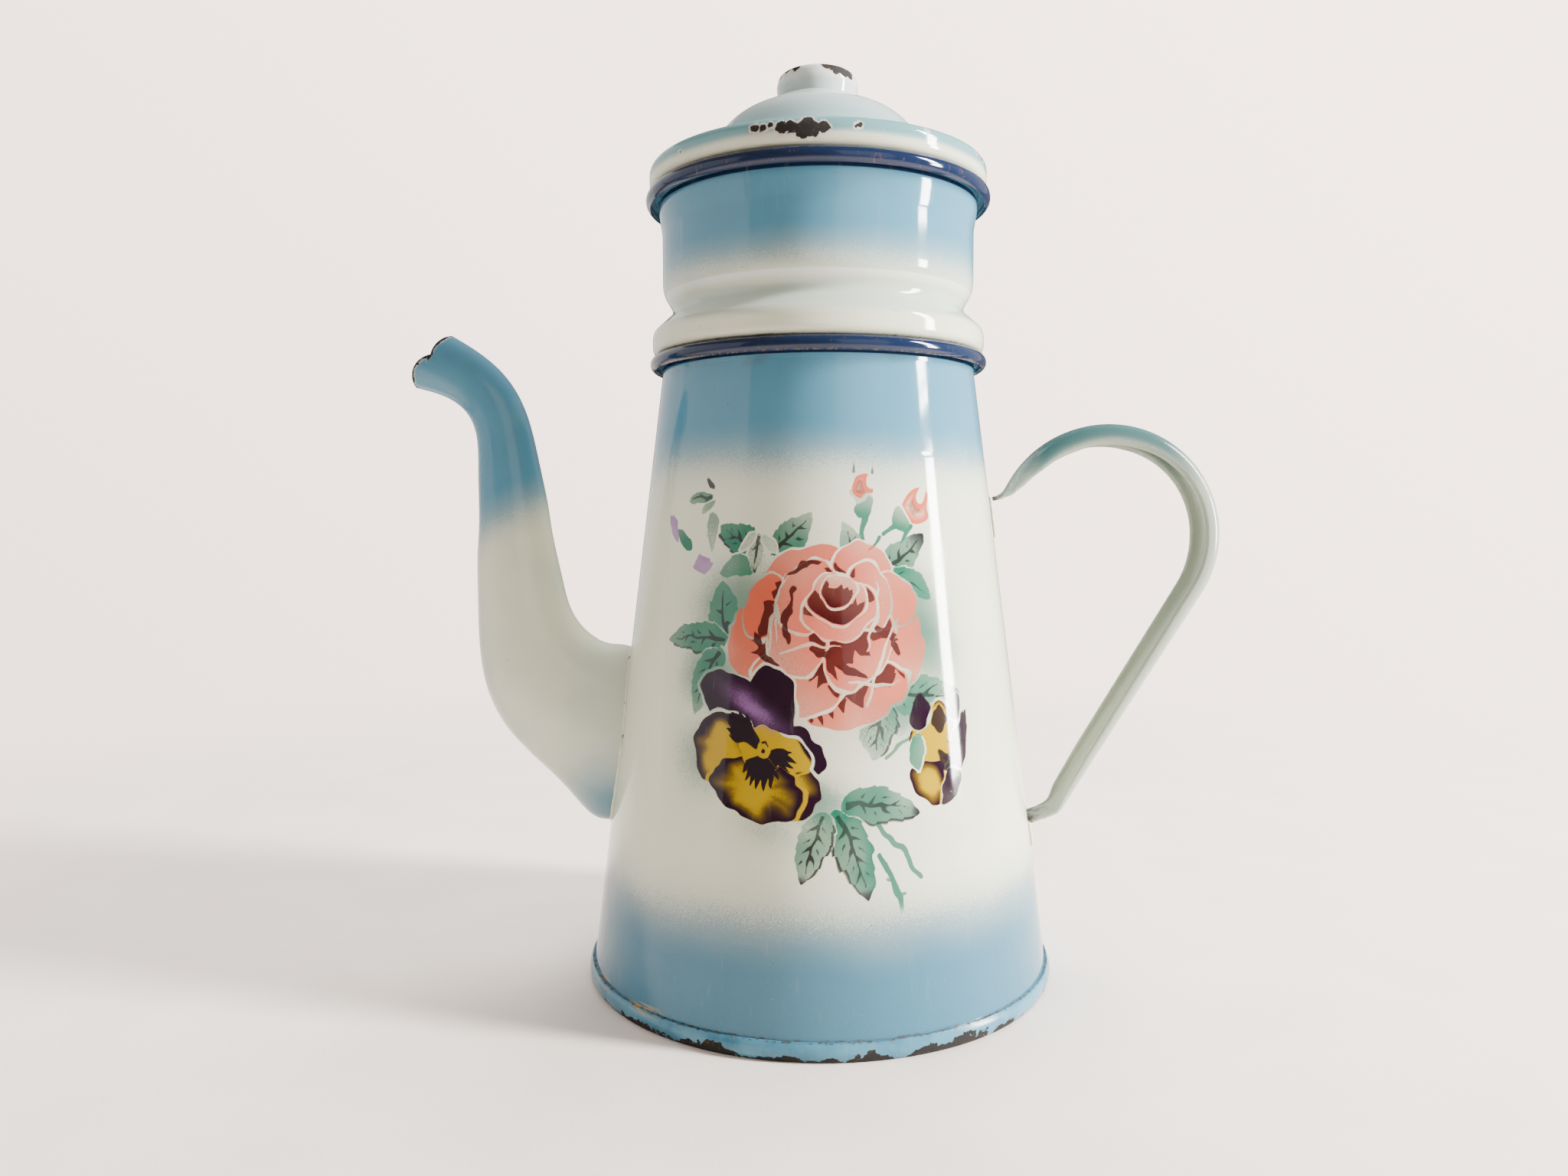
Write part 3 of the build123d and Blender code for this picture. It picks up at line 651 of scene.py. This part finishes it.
# The rose and the leaves behind it.
paper.lay(ROSE_HEART, (17, 7), 24, mirrored=True)
leaf((-7.2, 135.2), (-22, 141.5), 8.6, 7, 0.6, (1, 0.5), 3)
leaf((-5, 135.4), (5.6, 148.4), 10, 7, 0.8, (0.95, 0.75), 4, rim=-1)
leaf((-3, 134.2), (9.4, 136.5), 6.4, 4, 0.8, (0.9, 0.55), 0)
leaf((15.5, 117), (9.2, 134.5), 9.4, 5, -0.8, (0.75, 0.6), 2)
leaf((14.6, 118.2), (36.5, 126.5), 9, 8, 1.2, (0.85, 0.6), 4, rim=-1)
leaf((17.8, 117.2), (33.8, 103.4), 9.2, 7, 1, (0.65, 0.55), 4)
leaf((-26, 117.5), (-29.5, 135), 8.6, 5, 0.6, (0.65, 0.4), 3)
leaf((-33, 118.4), (-49.8, 122), 9.4, 6, 0.8, (0.7, 0.55), 3, tipped=0.45)
leaf((-34.5, 117.2), (-44.5, 103.8), 8.4, 5, -0.9, (0.85, 0.65), 1)
leaf((-19.5, 89), (-43, 75), 11.5, 8, 1.2, (0.55, 0.35), 5, tipped=0.26)
leaf((-18, 88), (-9.8, 71.5), 12, 7, -0.8, (0.55, 0.35), 5, rim=-1)
petal((6.6, 113), (9.6, 11.6), 10, (-8, 110), 0.42, 1.8, 3, 0.4, (0.95, 0.62))
petal((3.4, 103), (9.5, 6), 35, (-6, 106), 0.34, 2, 3, 1.4, (0.95, 0.7))
petal((-11, 127), (13.5, 6.6), -8, (-14, 118), 0.16, 2.6, 4, 0.8, (0.9, 0.6), 0.04)
petal((0.6, 122.6), (9.5, 5.6), -48, (-8, 114), 0.3, 1.6, 3, 2, (0.9, 0.75))
petal((-29, 121), (8.6, 6.8), 52, (-20, 115), 0.14, 2.2, 4, 1.2, (0.85, 0.6))
petal((-29, 98), (9.4, 12.2), 22, (-18, 106), 0.3, 2, 3, 0.5, (0.9, 0.42))
petal((-12.5, 90), (15.6, 8.4), 8, (-12, 104), 0.4, 3.2, 5, 2.2, (0.95, 0.5))
petal((-1, 100), (11, 10), 52, (-16, 108), 0.24, 2.4, 4, 0.2, (0.8, 0.5))
petal((-33.5, 109.5), (6.2, 8.2), -18, (-24, 112), 0.2, 2, 3, 1, (0.8, 0.5))
petal((-19.5, 102.5), (13.2, 8.8), -36, (-17, 114), 0.46, 2.6, 4, 1.7, (0.95, 0.6))
petal((-4.6, 112), (8.2, 11.5), 24, (-15, 114), 0.26, 2.2, 3, 0.9, (0.85, 0.5))
petal((-12, 119.8), (10.8, 8), -34, (-19, 114), 0.2, 2, 4, 2.6, (0.9, 0.55))
petal((-27, 113.2), (6.8, 9.6), 16, (-20, 115), 0.24, 2.2, 3, 1.9, (0.85, 0.5))
petal((-18.4, 113.6), (10.2, 8.6), 18, (-19, 117), 0.36, 2.8, 4, 0.3, (0.9, 0.55))
petal((-18.6, 116.2), (8, 7), 30, (-15, 112), 0.44, 3, 4, 1.1, (0.75, 0.45))
petal((-19.8, 118.2), (5, 4.2), -10, (-16.8, 115.4), 0.52, 2.4, 3, 2, (0.6, 0.4), 0.04)
for points, widths in (
    ([(-6, 107), (-10, 103), (-13, 97.6), (-18, 92)], (0.8, 3.6, 2.8, 0.4)),
    ([(-25, 106), (-28, 101), (-29, 95)], (0.4, 3, 0.6)),
    ([(-9, 124), (-3.6, 118), (-1.6, 110.5)], (0.3, 2.6, 0.4)),
    ([(-20, 126.6), (-14, 128.6), (-7, 127.2)], (0.3, 1.7, 0.3)),
    ([(6.2, 118), (6.6, 111), (3, 104.6)], (0.3, 3.2, 0.5)),
):
    crimson.add(stroke(points, widths) + 0.7 * drift(1.6, 21), 0.9)
for points, widths in (
    ([(-33, 104), (-26, 99), (-19, 92), (-14, 86)], (0.3, 1, 0.8)),
    ([(-8.5, 128.5), (-2, 121), (1, 112)], (0.3, 0.9, 0.3)),
    ([(-31, 116), (-27, 107), (-20, 100)], (0.3, 0.9, 0.3)),
    ([(-14, 104), (-7, 108), (1.5, 109)], (0.3, 0.9, 0.4)),
    ([(-2, 122), (2, 116), (4, 111)], (0.4, 1.1, 0.4)),
    ([(-26, 88), (-19, 90), (-12, 94)], (0.3, 0.9, 0.5)),
):
    clear(stroke(points, widths), coral, crimson)
for place, size, amount in (
    ((-38, 98), (12, 22), 0.62), ((8, 126), (20, 16), 0.52),
    ((24, 112), (15, 13), 0.5), ((-24, 82), (17, 11), 0.55),
):
    green.puff(place, size, amount)
coral.puff((-12, 106), (24, 25), 0.34)

# The large pansy.
paper.lay(PANSY_EYE, (-27, -3), -14, mirrored=True)
for at, size, angle, lobes, phase in (
    ((11.2, 98), (7.6, 11), -8, 5, 0.7),
    ((21, 95.6), (12.2, 7.4), 16, 6, 1.5),
    ((1, 87.6), (9, 6.6), 26, 5, 0.2),
):
    edge = blob(at, size, angle, lobes, 0.03, phase)
    clear(edge + 0.6, green, coral, crimson, dark)
    p, q = local((16, 95), 20)
    plum.add(edge)
    violet.add(edge, 0.62 * np.exp(-((q - 1) / 2.8) ** 2 - (p / 9) ** 2))
pansy_petal((0.6, 78.6), (9.6, 7.8), 34, 5, 0.9, 6.4)
pansy_petal((21.6, 82.4), (9.8, 10.6), 20, 6, 2.1, 6)
pansy_petal((2.8, 86), (6.4, 5.4), 10, 4, 0.4, 0.6)
pansy_petal((9.4, 74.8), (13.6, 8.6), -2, 8, 1.1, 6.4)
hub = blob(PANSY_EYE, (7, 6.2), 0, 5, 0.05, 0.5)
plum.clear(hub)
yellow.add(hub)
for angle, spread, reach, teeth in ((264, 46, 11.4, 8), (24, 26, 15, 6), (190, 26, 10.4, 5)):
    dark.add(fan(PANSY_EYE, angle, spread, reach, teeth))
dark.add(stroke([(8.6, 87.4), (9.6, 88.3), (10.8, 87.6)], (0.5, 0.7, 0.5)))
dark.add(blob((9.8, 85.9), (0.75, 0.65)))
for place, size, amount in (
    ((-8, 76), (14, 9), 0.45), ((28, 78), (14, 14), 0.36),
    ((4, 66), (14, 8), 0.25),
):
    green.puff(place, size, amount)
plum.puff((12, 92), (18, 9), 0.16)

# The small pansy.
paper.lay((29, 141), (4, -58), -22)
pansy_petal((27.5, 142), (7.4, 10.6), 8, 4, 0.6, 1.2)
pansy_petal((31.5, 131), (7.6, 5.6), -4, 4, 1, 5)
for at, size, angle, lobes in (
    ((37.4, 141), (3, 12.2), 6, 9), ((20.6, 147.6), (3.6, 5), 20, 3),
    ((32.2, 152.6), (2, 3.8), 0, 3), ((38, 132), (3.2, 5), -12, 5),
):
    edge = blob(at, size, angle, lobes, 0.04, 0.8)
    yellow.clear(edge + 0.1)
    plum.clear(edge + 0.5)
    plum.add(edge, 0.97 + 0.03 * drift(4, 3))
for at, size, angle in (
    ((27.4, 148.2), (2.6, 3.6), 20), ((33.6, 137.4), (4.2, 1.5), -30),
    ((34.6, 143.4), (3, 0.5), 8), ((34.4, 145.6), (2.4, 0.45), 22),
):
    dark.add(blob(at, size, angle, 4, 0.08, 0.4), 0.95)
clear(stroke([(23.6, 153.4), (24, 147), (25.4, 140)], (0.5, 0.9, 0.5)), plum, dark)
leaf((22.4, 141.5), (26.4, 132.5), 4.2, 3, -0.8, (0.9, 0.6), 0, skew=0.4)
green.add(stroke([(15.2, 133.2), (18, 138.8), (22.8, 141.6)], (1.1, 0.9, 1.5)), 0.8)

# The buds.
paper.lay((-9.4, 141.6), (22, -3.5), -20, mirrored=True)
for at, size, angle, notch in (
    ((-19.6, 158.2), (4.4, 5.2), -10, (-19.8, 161.6)),
    ((-1.8, 157.8), (3, 3.6), -24, (-3.6, 160.2)),
):
    edge = np.minimum(blob(at, size, angle, 3, 0.07, 0.6), -blob(notch, (1.5, 2.4), -14))
    coral.add(edge, 0.95 - 0.45 * ramp(edge, 0.6, 2.2))
    core = blob((at[0] + 0.6, at[1] - 0.4), (1.6, 2.4), -20, 5, 0.12)
    crimson.add(np.minimum(edge - 1, core), 0.4)
for at, size, angle in (((-16, 152.6), (2.6, 4.2), -36), ((-4.2, 152.4), (2.2, 3.2), 10)):
    edge = blob(at, size, angle, 3, 0.08, 1)
    coral.clear(edge + 0.5)
    green.add(edge, 0.95 - 0.4 * ramp(paper.v, 150, 156))
green.add(blob((-2.2, 155), (3.4, 1.9), 10, 3, 0.1, 0.4), 0.4)
for points, widths in (
    ([(-19.4, 152.2), (-18, 148.4), (-16.4, 144.6)], (1.6, 1.3, 0.4)),
    ([(-15.2, 150.6), (-13.6, 148.6), (-12.2, 147.2)], (1.6, 1.2, 1.2)),
    ([(-11.2, 146.2), (-9.4, 141.6)], (1, 0.9)),
    ([(-5.2, 150.4), (-6.6, 143.8)], (1.6, 1.2)),
):
    green.add(stroke(points, widths), 0.95)
for points in ([(-2.8, 164), (-3, 162.4)], [(2.6, 163), (1.8, 161.2)]):
    dark.add(stroke(points, (0.2, 1)), 0.7)

# Loose leaves and petals.
paper.lay((34, 80), (-67, 64), 30, mirrored=True)
leaf((30, 88.4), (38.8, 91.4), 4, 4, 0.4, (0.7, 0.45), 1)
leaf((30, 86.6), (36.4, 85.4), 2.6, 3, 0.2, (0.5, 0.35), 0)
leaf((31.4, 84), (37.4, 74.6), 5, 4, 0.6, (0.45, 0.35), 0)
leaf((44.6, 79.4), (46.4, 87.4), 3.6, 2, -0.4, (0.95, 0.8), 0)
leaf((21.8, 71.4), (28.2, 62.6), 4.2, 3, 0.5, (0.5, 0.35), 1, tipped=0.3)
leaf((22.6, 72), (29, 70.4), 2.2, 2, 0.2, (0.4, 0.3), 0)
leaf((21, 70.6), (20, 64.4), 2.4, 2, 0.2, (0.4, 0.3), 0)
for at, size, angle, amount in (((48.2, 88.2), (1.9, 4.2), 8, 0.8), ((42.6, 73.2), (3.6, 2.6), 20, 0.8)):
    violet.add(blob(at, size, angle, 5, 0.07, 0.7), amount + 0.15 * drift(3, 8))
plum.add(blob((28.4, 91.8), (0.8, 2.2), -8, 5, 0.07, 0.7), 0.9)

# Leaves and stems at the foot.
paper.lay((1, 67), (2, 0), 16, mirrored=True)
leaf((-0.4, 67.6), (-21.6, 58.2), 10, 6, -1.6, (0.95, 0.6), 4, tipped=0.2, rim=1, skew=-0.3)
leaf((1.6, 66.8), (-0.6, 41), 10.6, 6, -1, (1, 0.55), 5, tipped=0.2, rim=1, skew=0.6)
leaf((3.6, 67.2), (15.4, 50.4), 9.6, 6, 1, (0.45, 0.6), 4, tipped=0.18, rim=-1, skew=0.3)
stem = stroke([(-8, 62), (-10.4, 56.4), (-14.6, 49.6), (-16.6, 42.2)], (0.9, 1.3, 1.5, 1.7))
green.add(stem, 0.9)
fade = ramp(paper.v, 33, 38) * 0.9 + 0.05
stem = stroke([(-7.2, 51.4), (-8.8, 45), (-9.4, 38.8), (-8.6, 32.6)], (1.3, 1.7, 1.7, 1.4))
green.add(stem, fade)
for at in ((-7.4, 44.2), (-10.6, 39.6)):
    green.add(blob(at, (0.9, 0.5), 20), 0.8)


# ---- meshes

def added(name, data):
    """A new object in the scene."""
    thing = bpy.data.objects.new(name, data)
    bpy.context.scene.collection.objects.link(thing)
    return thing


def mesh_from(name, points, faces, material, smooth):
    """A mesh from points in mm."""
    mesh = bpy.data.meshes.new(name)
    mesh.from_pydata([tuple(p) for p in np.asarray(points) * MM], [], faces)
    mesh.polygons.foreach_set("use_smooth", np.full(len(mesh.polygons), smooth))
    mesh.materials.append(material)
    mesh.update()
    return mesh


def piece_from(name, points, faces, material, body):
    """A smooth-shaded piece that rides on a body."""
    piece = added(name, mesh_from(name, points, faces, material, True))
    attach(piece, body)
    return piece


def grid_faces(rows, columns, first=0, flip=False):
    corner = (np.arange(rows - 1)[:, None] * columns + np.arange(columns - 1)).ravel() + first
    quads = np.stack([corner, corner + 1, corner + columns + 1, corner + columns], axis=1)
    return (quads[:, ::-1] if flip else quads).tolist()


def tube_faces(rings, sides, closed=False):
    """Quads that join rings of points one after another, and the last to the first if closed."""
    faces = []
    for k in range(rings if closed else rings - 1):
        a, b = k * sides, (k + 1) % rings * sides
        faces += [(a + j, a + (j + 1) % sides, b + (j + 1) % sides, b + j) for j in range(sides)]
    return faces


def unit(vectors):
    return vectors / np.linalg.norm(vectors, axis=1)[:, None]


def around(u, z, lift):
    """Points on the pot's front, u mm round the wall and lift mm clear of it."""
    r = cone_r(z)
    return np.stack([(r + lift) * np.sin(u / r), -(r + lift) * np.cos(u / r), z], axis=-1)


def print_glaze():
    g = Graph("print_glaze")

    def held(name):
        return g.node("Attribute", attribute_name=name).outputs["Fac"]

    colour = pot_ground(g)
    drops = g.scaled(g.noise(0.55, 2, 0.7), 1.5, -0.75)
    for ink in INKS:
        if ink.mist.any():
            mist = held(ink.name + "_mist")
            speckled = g.step(g.add(mist, g.scaled(drops, 0.6)), 0.25, 0.75)
            cover = g.add(g.times(mist, 0.55), g.times(speckled, 0.3))
            colour = g.mix(cover, colour, g.mix(0.1, ink.tint, BLUE))
    fray = g.scaled(g.noise(0.5, 2), 0.16, -0.08)
    for ink in INKS:
        inside = g.step(g.add(held(ink.name + "_edge"), fray), -0.1, 0.14)
        spray = held(ink.name + "_spray")
        speckled = g.step(g.add(spray, g.scaled(drops, 0.5)), 0.18, 0.62)
        cover = g.add(g.times(spray, 0.66), g.times(speckled, 0.34))
        colour = g.mix(g.times(inside, cover), colour, ink.tint)
    return g.enamel(colour)


def flower_print():
    """A skin of glaze on the pot's front that carries the print, tapering into the wall all round."""
    lift, sunk, taper, back = 0.05, 0.2, 3, -0.4
    rows, columns = U.shape
    margin = np.minimum(np.minimum(U - U.min(), U.max() - U), np.minimum(V - V.min(), V.max() - V))
    front = around(U, V, lift - sunk * (1 - ramp(margin, 0, taper))).reshape(-1, 3)
    ends = [around(U[row], V[row], back) for row in (0, rows - 1)]
    points = np.concatenate([front, *ends])
    low, high = rows * columns, rows * columns + columns
    top = (rows - 1) * columns
    faces = grid_faces(rows, columns)
    for k in range(columns - 1):
        faces += [(low + k, low + k + 1, k + 1, k), (top + k, top + k + 1, high + k + 1, high + k),
                  (high + k, high + k + 1, low + k + 1, low + k)]
    side = [row * columns for row in range(rows)]
    faces.append([*reversed(side), low, high])
    faces.append([k + columns - 1 for k in (*side, high, low)])
    piece = piece_from("flower_print", points, faces, print_glaze(), "pot")
    spare = np.zeros(2 * columns)
    for ink in INKS:
        for field in ("edge", "spray", "mist"):
            values = np.concatenate([getattr(ink, field).ravel(), spare]).astype(np.float32)
            attribute = piece.data.attributes.new(f"{ink.name}_{field}", "FLOAT", "POINT")
            attribute.data.foreach_set("value", values)


def closed_bead(name, path, outward, width, lift, material, body, seed):
    """A lumpy bead of weld along a closed path, lying against what it joins."""
    path, outward = np.asarray(path), np.asarray(outward)
    count, sides, points_per_lump, lumpiness = len(path), 10, 3, 0.35
    along = unit(np.roll(path, -1, axis=0) - np.roll(path, 1, axis=0))
    sideways = unit(np.cross(along, outward))
    lumps = np.random.default_rng(seed).uniform(-1, 1, count // points_per_lump)
    swell = 1 + lumpiness * np.interp(np.arange(count), np.linspace(0, count, len(lumps) + 1),
                                      np.append(lumps, lumps[0]))
    points = []
    for k in range(count):
        wide, high = width * swell[k], lift * swell[k]
        for turn in (2 * pi * j / sides for j in range(sides)):
            points.append(path[k] + sideways[k] * cos(turn) * wide + outward[k] * sin(turn) * high)
    piece_from(name, points, tube_faces(count, sides, closed=True), material, body)


def spout_root():
    """The outer edge of the spout where it meets the wall, evenly spaced round the joint."""
    touching, bins, count = 0.03, 60, 180
    halves = [nodes[name].data.vertices for name in ("spout_front_half", "spout_back_half")]
    x, y, z = np.concatenate([[tuple(v.co) for v in half] for half in halves]).T / MM
    on_wall = np.abs(np.hypot(x, y) - cone_r(z)) < touching
    y, z = y[on_wall], z[on_wall]
    middle = (z.min() + z.max()) / 2
    turn, far = np.arctan2(z - middle, y), np.hypot(z - middle, y)
    limits = np.linspace(-pi, pi, bins + 1)
    angles, reaches = [], []
    for low, high in zip(limits, limits[1:]):
        here = (turn >= low) & (turn < high)
        if here.any():
            best = np.argmax(far * here)
            angles.append(turn[best])
            reaches.append(far[best])
    even = np.linspace(-pi, pi, count, endpoint=False)
    reach = np.interp(even, angles, reaches, period=2 * pi)
    y, z = reach * np.cos(even), middle + reach * np.sin(even)
    return np.stack([-np.sqrt(cone_r(z) ** 2 - y ** 2), y, z], axis=1)


def tab_outline(low, high):
    """The outline of one of the handle's tabs on the wall."""
    half, lift, spacing, points = TAB_WIDTH / 2, 0.4, 0.5, []
    corners = [(-half, low), (half, low), (half, high), (-half, high)]
    for (y0, z0), (y1, z1) in zip(corners, corners[1:] + corners[:1]):
        steps = int(hypot(y1 - y0, z1 - z0) / spacing)
        for k in range(steps):
            y, z = y0 + (y1 - y0) * k / steps, z0 + (z1 - z0) * k / steps
            points.append((((cone_r(z) + lift) ** 2 - y * y) ** 0.5, y, z))
    return np.array(points)


def from_axis(points):
    """Unit vectors straight out of the wall at some points."""
    out = unit(points * (1, 1, 0))
    out[:, 2] = WALL_SLOPE
    return unit(out)


def arch_point(angle, along=0):
    """A point on the handle's arch, or along its tangent from there."""
    x = ARCH_CENTRE[0] + ARCH_R * cos(radians(angle)) + along * sin(radians(angle))
    return np.array((x, ARCH_CENTRE[1] + ARCH_R * sin(radians(angle)) - along * cos(radians(angle))))


def eased(before, corner, after, cut, steps=10):
    """A corner rounded off from a distance before it to the same distance after it."""
    start = corner + cut * (before - corner) / np.linalg.norm(before - corner)
    end = corner + cut * (after - corner) / np.linalg.norm(after - corner)
    return [(1 - t) ** 2 * start + 2 * t * (1 - t) * corner + t * t * end for t in np.linspace(0, 1, steps)]


def crown_path():
    """Evenly spaced points along the handle's crown, its outward normals, and the share of the way."""
    start, end = np.array(CROWN_START), np.array(CROWN_END)
    first, last = arch_point(ARCH_FROM), arch_point(ARCH_TO)
    root, foot = arch_point(ARCH_FROM, -ROOT_RUN), arch_point(ARCH_TO, STRAIGHT)
    line = [start, *eased(start, root, first, 2.4)]
    line += [arch_point(angle) for angle in np.linspace(ARCH_FROM, ARCH_TO, 120)]
    line += [last + (foot - last) * t for t in np.linspace(0.02, 0.95, 60)]
    line = np.array(line + [*eased(last, foot, end, 3), end])
    run = np.append(0, np.cumsum(np.linalg.norm(np.diff(line, axis=0), axis=1)))
    even = np.linspace(0, run[-1], 320)
    line = np.stack([np.interp(even, run, line[:, k]) for k in (0, 1)], axis=1)
    along = unit(np.gradient(line, axis=0))
    return line, np.stack([-along[:, 1], along[:, 0]], axis=1), even / run[-1]


def tab_pillow(low, high):
    """A tab: a plate one sheet thick on the wall with softened edges, closed behind."""
    half, count, softened, clear_of, behind = TAB_WIDTH / 2, 36, 0.9, 0.02, -0.12
    y, z = np.meshgrid(np.linspace(-half, half, count), np.linspace(low, high, count))
    inside = np.minimum(half - np.abs(y), np.minimum(z - low, high - z))
    front = SHEET * np.sqrt(1 - (1 - np.clip(inside / softened, 0, 1)) ** 2) + clear_of
    points = []
    for lift in (front, np.where(inside > 0, behind, front)):
        reach = cone_r(z) + lift
        points.append(np.stack([np.sqrt(reach ** 2 - y ** 2), y, z], axis=-1).reshape(-1, 3))
    faces = grid_faces(count, count) + grid_faces(count, count, count * count, flip=True)
    return np.concatenate(points), faces


def rounded_handle(material):
    """The handle pressed to a rounded channel, open towards the pot, with its two tabs."""
    line, normal, share = crown_path()
    depth = np.interp(share, *zip(*HANDLE_DEPTHS))
    half = np.interp(share, *zip(*HANDLE_HALVES))
    turn = np.linspace(0, pi, 31)
    across = -np.sign(np.cos(turn)) * np.abs(np.cos(turn)) ** SECTION_POWER
    rise = np.sin(turn) ** SECTION_POWER
    rings = []
    for k in range(len(line)):
        for wide, deep, order in ((half[k], depth[k], 1), (half[k] - SHEET, depth[k] - SHEET, -1)):
            drop = depth[k] - deep * rise[::order]
            at = line[k] - drop[:, None] * normal[k]
            rings.append(np.stack([at[:, 0], wide * across[::order], at[:, 1]], axis=1))
    points = np.concatenate(rings)
    faces = tube_faces(len(line), 2 * len(turn))
    for span in (TOP_TAB_Z, FOOT_TAB_Z):
        tab, tab_faces = tab_pillow(*span)
        faces += [tuple(c + len(points) for c in face) for face in tab_faces]
        points = np.concatenate([points, tab])
    piece = piece_from("handle_channel", points, faces, material, "pot")
    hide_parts("handle_strap")


# ---- assembly

glazes = {
    "pot_wall": pot_glaze(), "pot_base": base_glaze(), "handle_strap": handle_glaze(),
    "filter_wall": filter_glaze(), "filter_floor": inside_glaze(),
}
lid, spout, steel = lid_glaze(), spout_glaze(), tinned()
glazes.update(lid_shell=lid, lid_knob=lid, spout_front_half=spout, spout_back_half=spout)
glazes.update(tamper_plate=steel, tamper_stem=steel, spreader_dish=steel, spreader_strip=steel)
glazes.update(tamper_knob=turned_metal(), spreader_rivets=rivet_metal())
for name, node in nodes.items():
    for slot in node.material_slots:
        slot.link = "OBJECT"
        slot.material = glazes[name]

flower_print()
rounded_handle(glazes["handle_strap"])
crust = weld_scale()
root = spout_root()
closed_bead("spout_weld", root, from_axis(root), 0.75, 0.55, crust, "pot", 3)
for name, span in (("handle_top_weld", TOP_TAB_Z), ("handle_foot_weld", FOOT_TAB_Z)):
    outline = tab_outline(*span)
    closed_bead(name, outline, from_axis(outline), 0.55, 0.75, crust, "pot", len(name))


# ---- studio

def floor():
    """A pale round table top that fades out with distance."""
    g = Graph("pale_cloth")
    colour = g.mix(g.patches(0.3, 0.7, 40, 3), (0.8, 0.7, 0.63), (0.84, 0.74, 0.67))
    weave = g.scaled(g.noise(1.2, 2), 0.05)
    material = g.finish(colour, 0.85, weave, alpha=g.step(g.radius, 720, 260))
    rings, spokes = (60, 120, 200, 300, 450, 730), 96
    points = [(0, 0, 0)]
    for r in rings:
        points += [(r * cos(2 * pi * k / spokes), r * sin(2 * pi * k / spokes), 0) for k in range(spokes)]
    faces = [(0, 1 + k, 1 + (k + 1) % spokes) for k in range(spokes)]
    for ring in range(len(rings) - 1):
        a = 1 + ring * spokes
        b = a + spokes
        faces += [(a + k, b + k, b + (k + 1) % spokes, a + (k + 1) % spokes) for k in range(spokes)]
    added("table", mesh_from("table", points, faces, material, False))


def softbox(name, azimuth, elevation, distance, size, power, colour=(1, 1, 1)):
    """A rectangular light that looks at the pot's middle, its azimuth measured rightwards from -Y."""
    light = bpy.data.lights.new(name, "AREA")
    light.shape, light.size, light.size_y = "RECTANGLE", size[0], size[1]
    light.energy, light.color = power, colour
    lamp = added(name, light)
    a, e = radians(azimuth), radians(elevation)
    target = Vector((0, 0, 0.14))
    lamp.location = target + distance * Vector((sin(a) * cos(e), -cos(a) * cos(e), sin(e)))
    lamp.rotation_euler = (target - lamp.location).to_track_quat("-Z", "Y").to_euler()
    lamp.visible_camera = False
    return lamp


def studio():
    """A room with a window in three panes on the right, and walls and curtains that give it back."""
    floor()
    warm, cool = (1, 0.99, 0.97), (0.97, 0.99, 1)
    pane_width, power_per_metre = 0.19, 112
    panes = ("low_pane", 4.9, 0.505), ("middle_pane", 17.7, 0.026), ("high_pane", 30.3, 0.62)
    for name, height, tall in panes:
        softbox(name, 77, height, 1.5, (pane_width, tall), power_per_metre * tall, warm)
    softbox("right_wall", 29, 15, 1.9, (1.15, 1.8), 7.5, warm)
    softbox("right_curtain", 118, 10, 1.7, (1.4, 1.6), 4, warm)
    softbox("left_wall", -84, 12, 1.9, (2.4, 1.8), 14, cool)
    softbox("left_curtain", -140, 12, 1.9, (1.6, 1.8), 10, cool)
    softbox("ceiling_left", -80, 62, 1.6, (1, 1), 6, cool).visible_glossy = False
    softbox("back_window", 165, 58, 1.7, (1.8, 1.4), 74).visible_glossy = False
    # The wall behind the pot brightens to the right and upwards, and gives little light.
    wall_strength, wall_lean, ambient = 4.2, (1.2, 0, 1.2), 0.28
    world = bpy.data.worlds.new("room")
    room = Nodes(world)
    seen = room.node("LightPath").outputs["Is Camera Ray"]
    direction = room.node("TexCoord").outputs["Generated"]
    lean = room.node("VectorMath", {0: direction, 1: wall_lean}, operation="DOT_PRODUCT").outputs["Value"]
    wall = room.calc("ADD", lean, wall_strength)
    strength = room.node("MapRange", {"Value": seen, "To Min": ambient, "To Max": wall}).outputs["Result"]
    background = room.node("Background", {"Color": (1, 0.81, 0.7), "Strength": strength})
    room.node("OutputWorld", {0: background.outputs[0]})
    bpy.context.scene.world = world


def camera():
    tilt_down, roll = 3.56, 0.2
    lens = bpy.data.cameras.new("camera")
    lens.sensor_width, lens.lens = 36, 25.93
    lens.clip_start = 0.01
    eye = added("camera", lens)
    eye.location = (-0.0111, -0.3705, 0.147)
    eye.rotation_euler = Euler((radians(90 - tilt_down), radians(roll), 0))
    bpy.context.scene.camera = eye


studio()
camera()
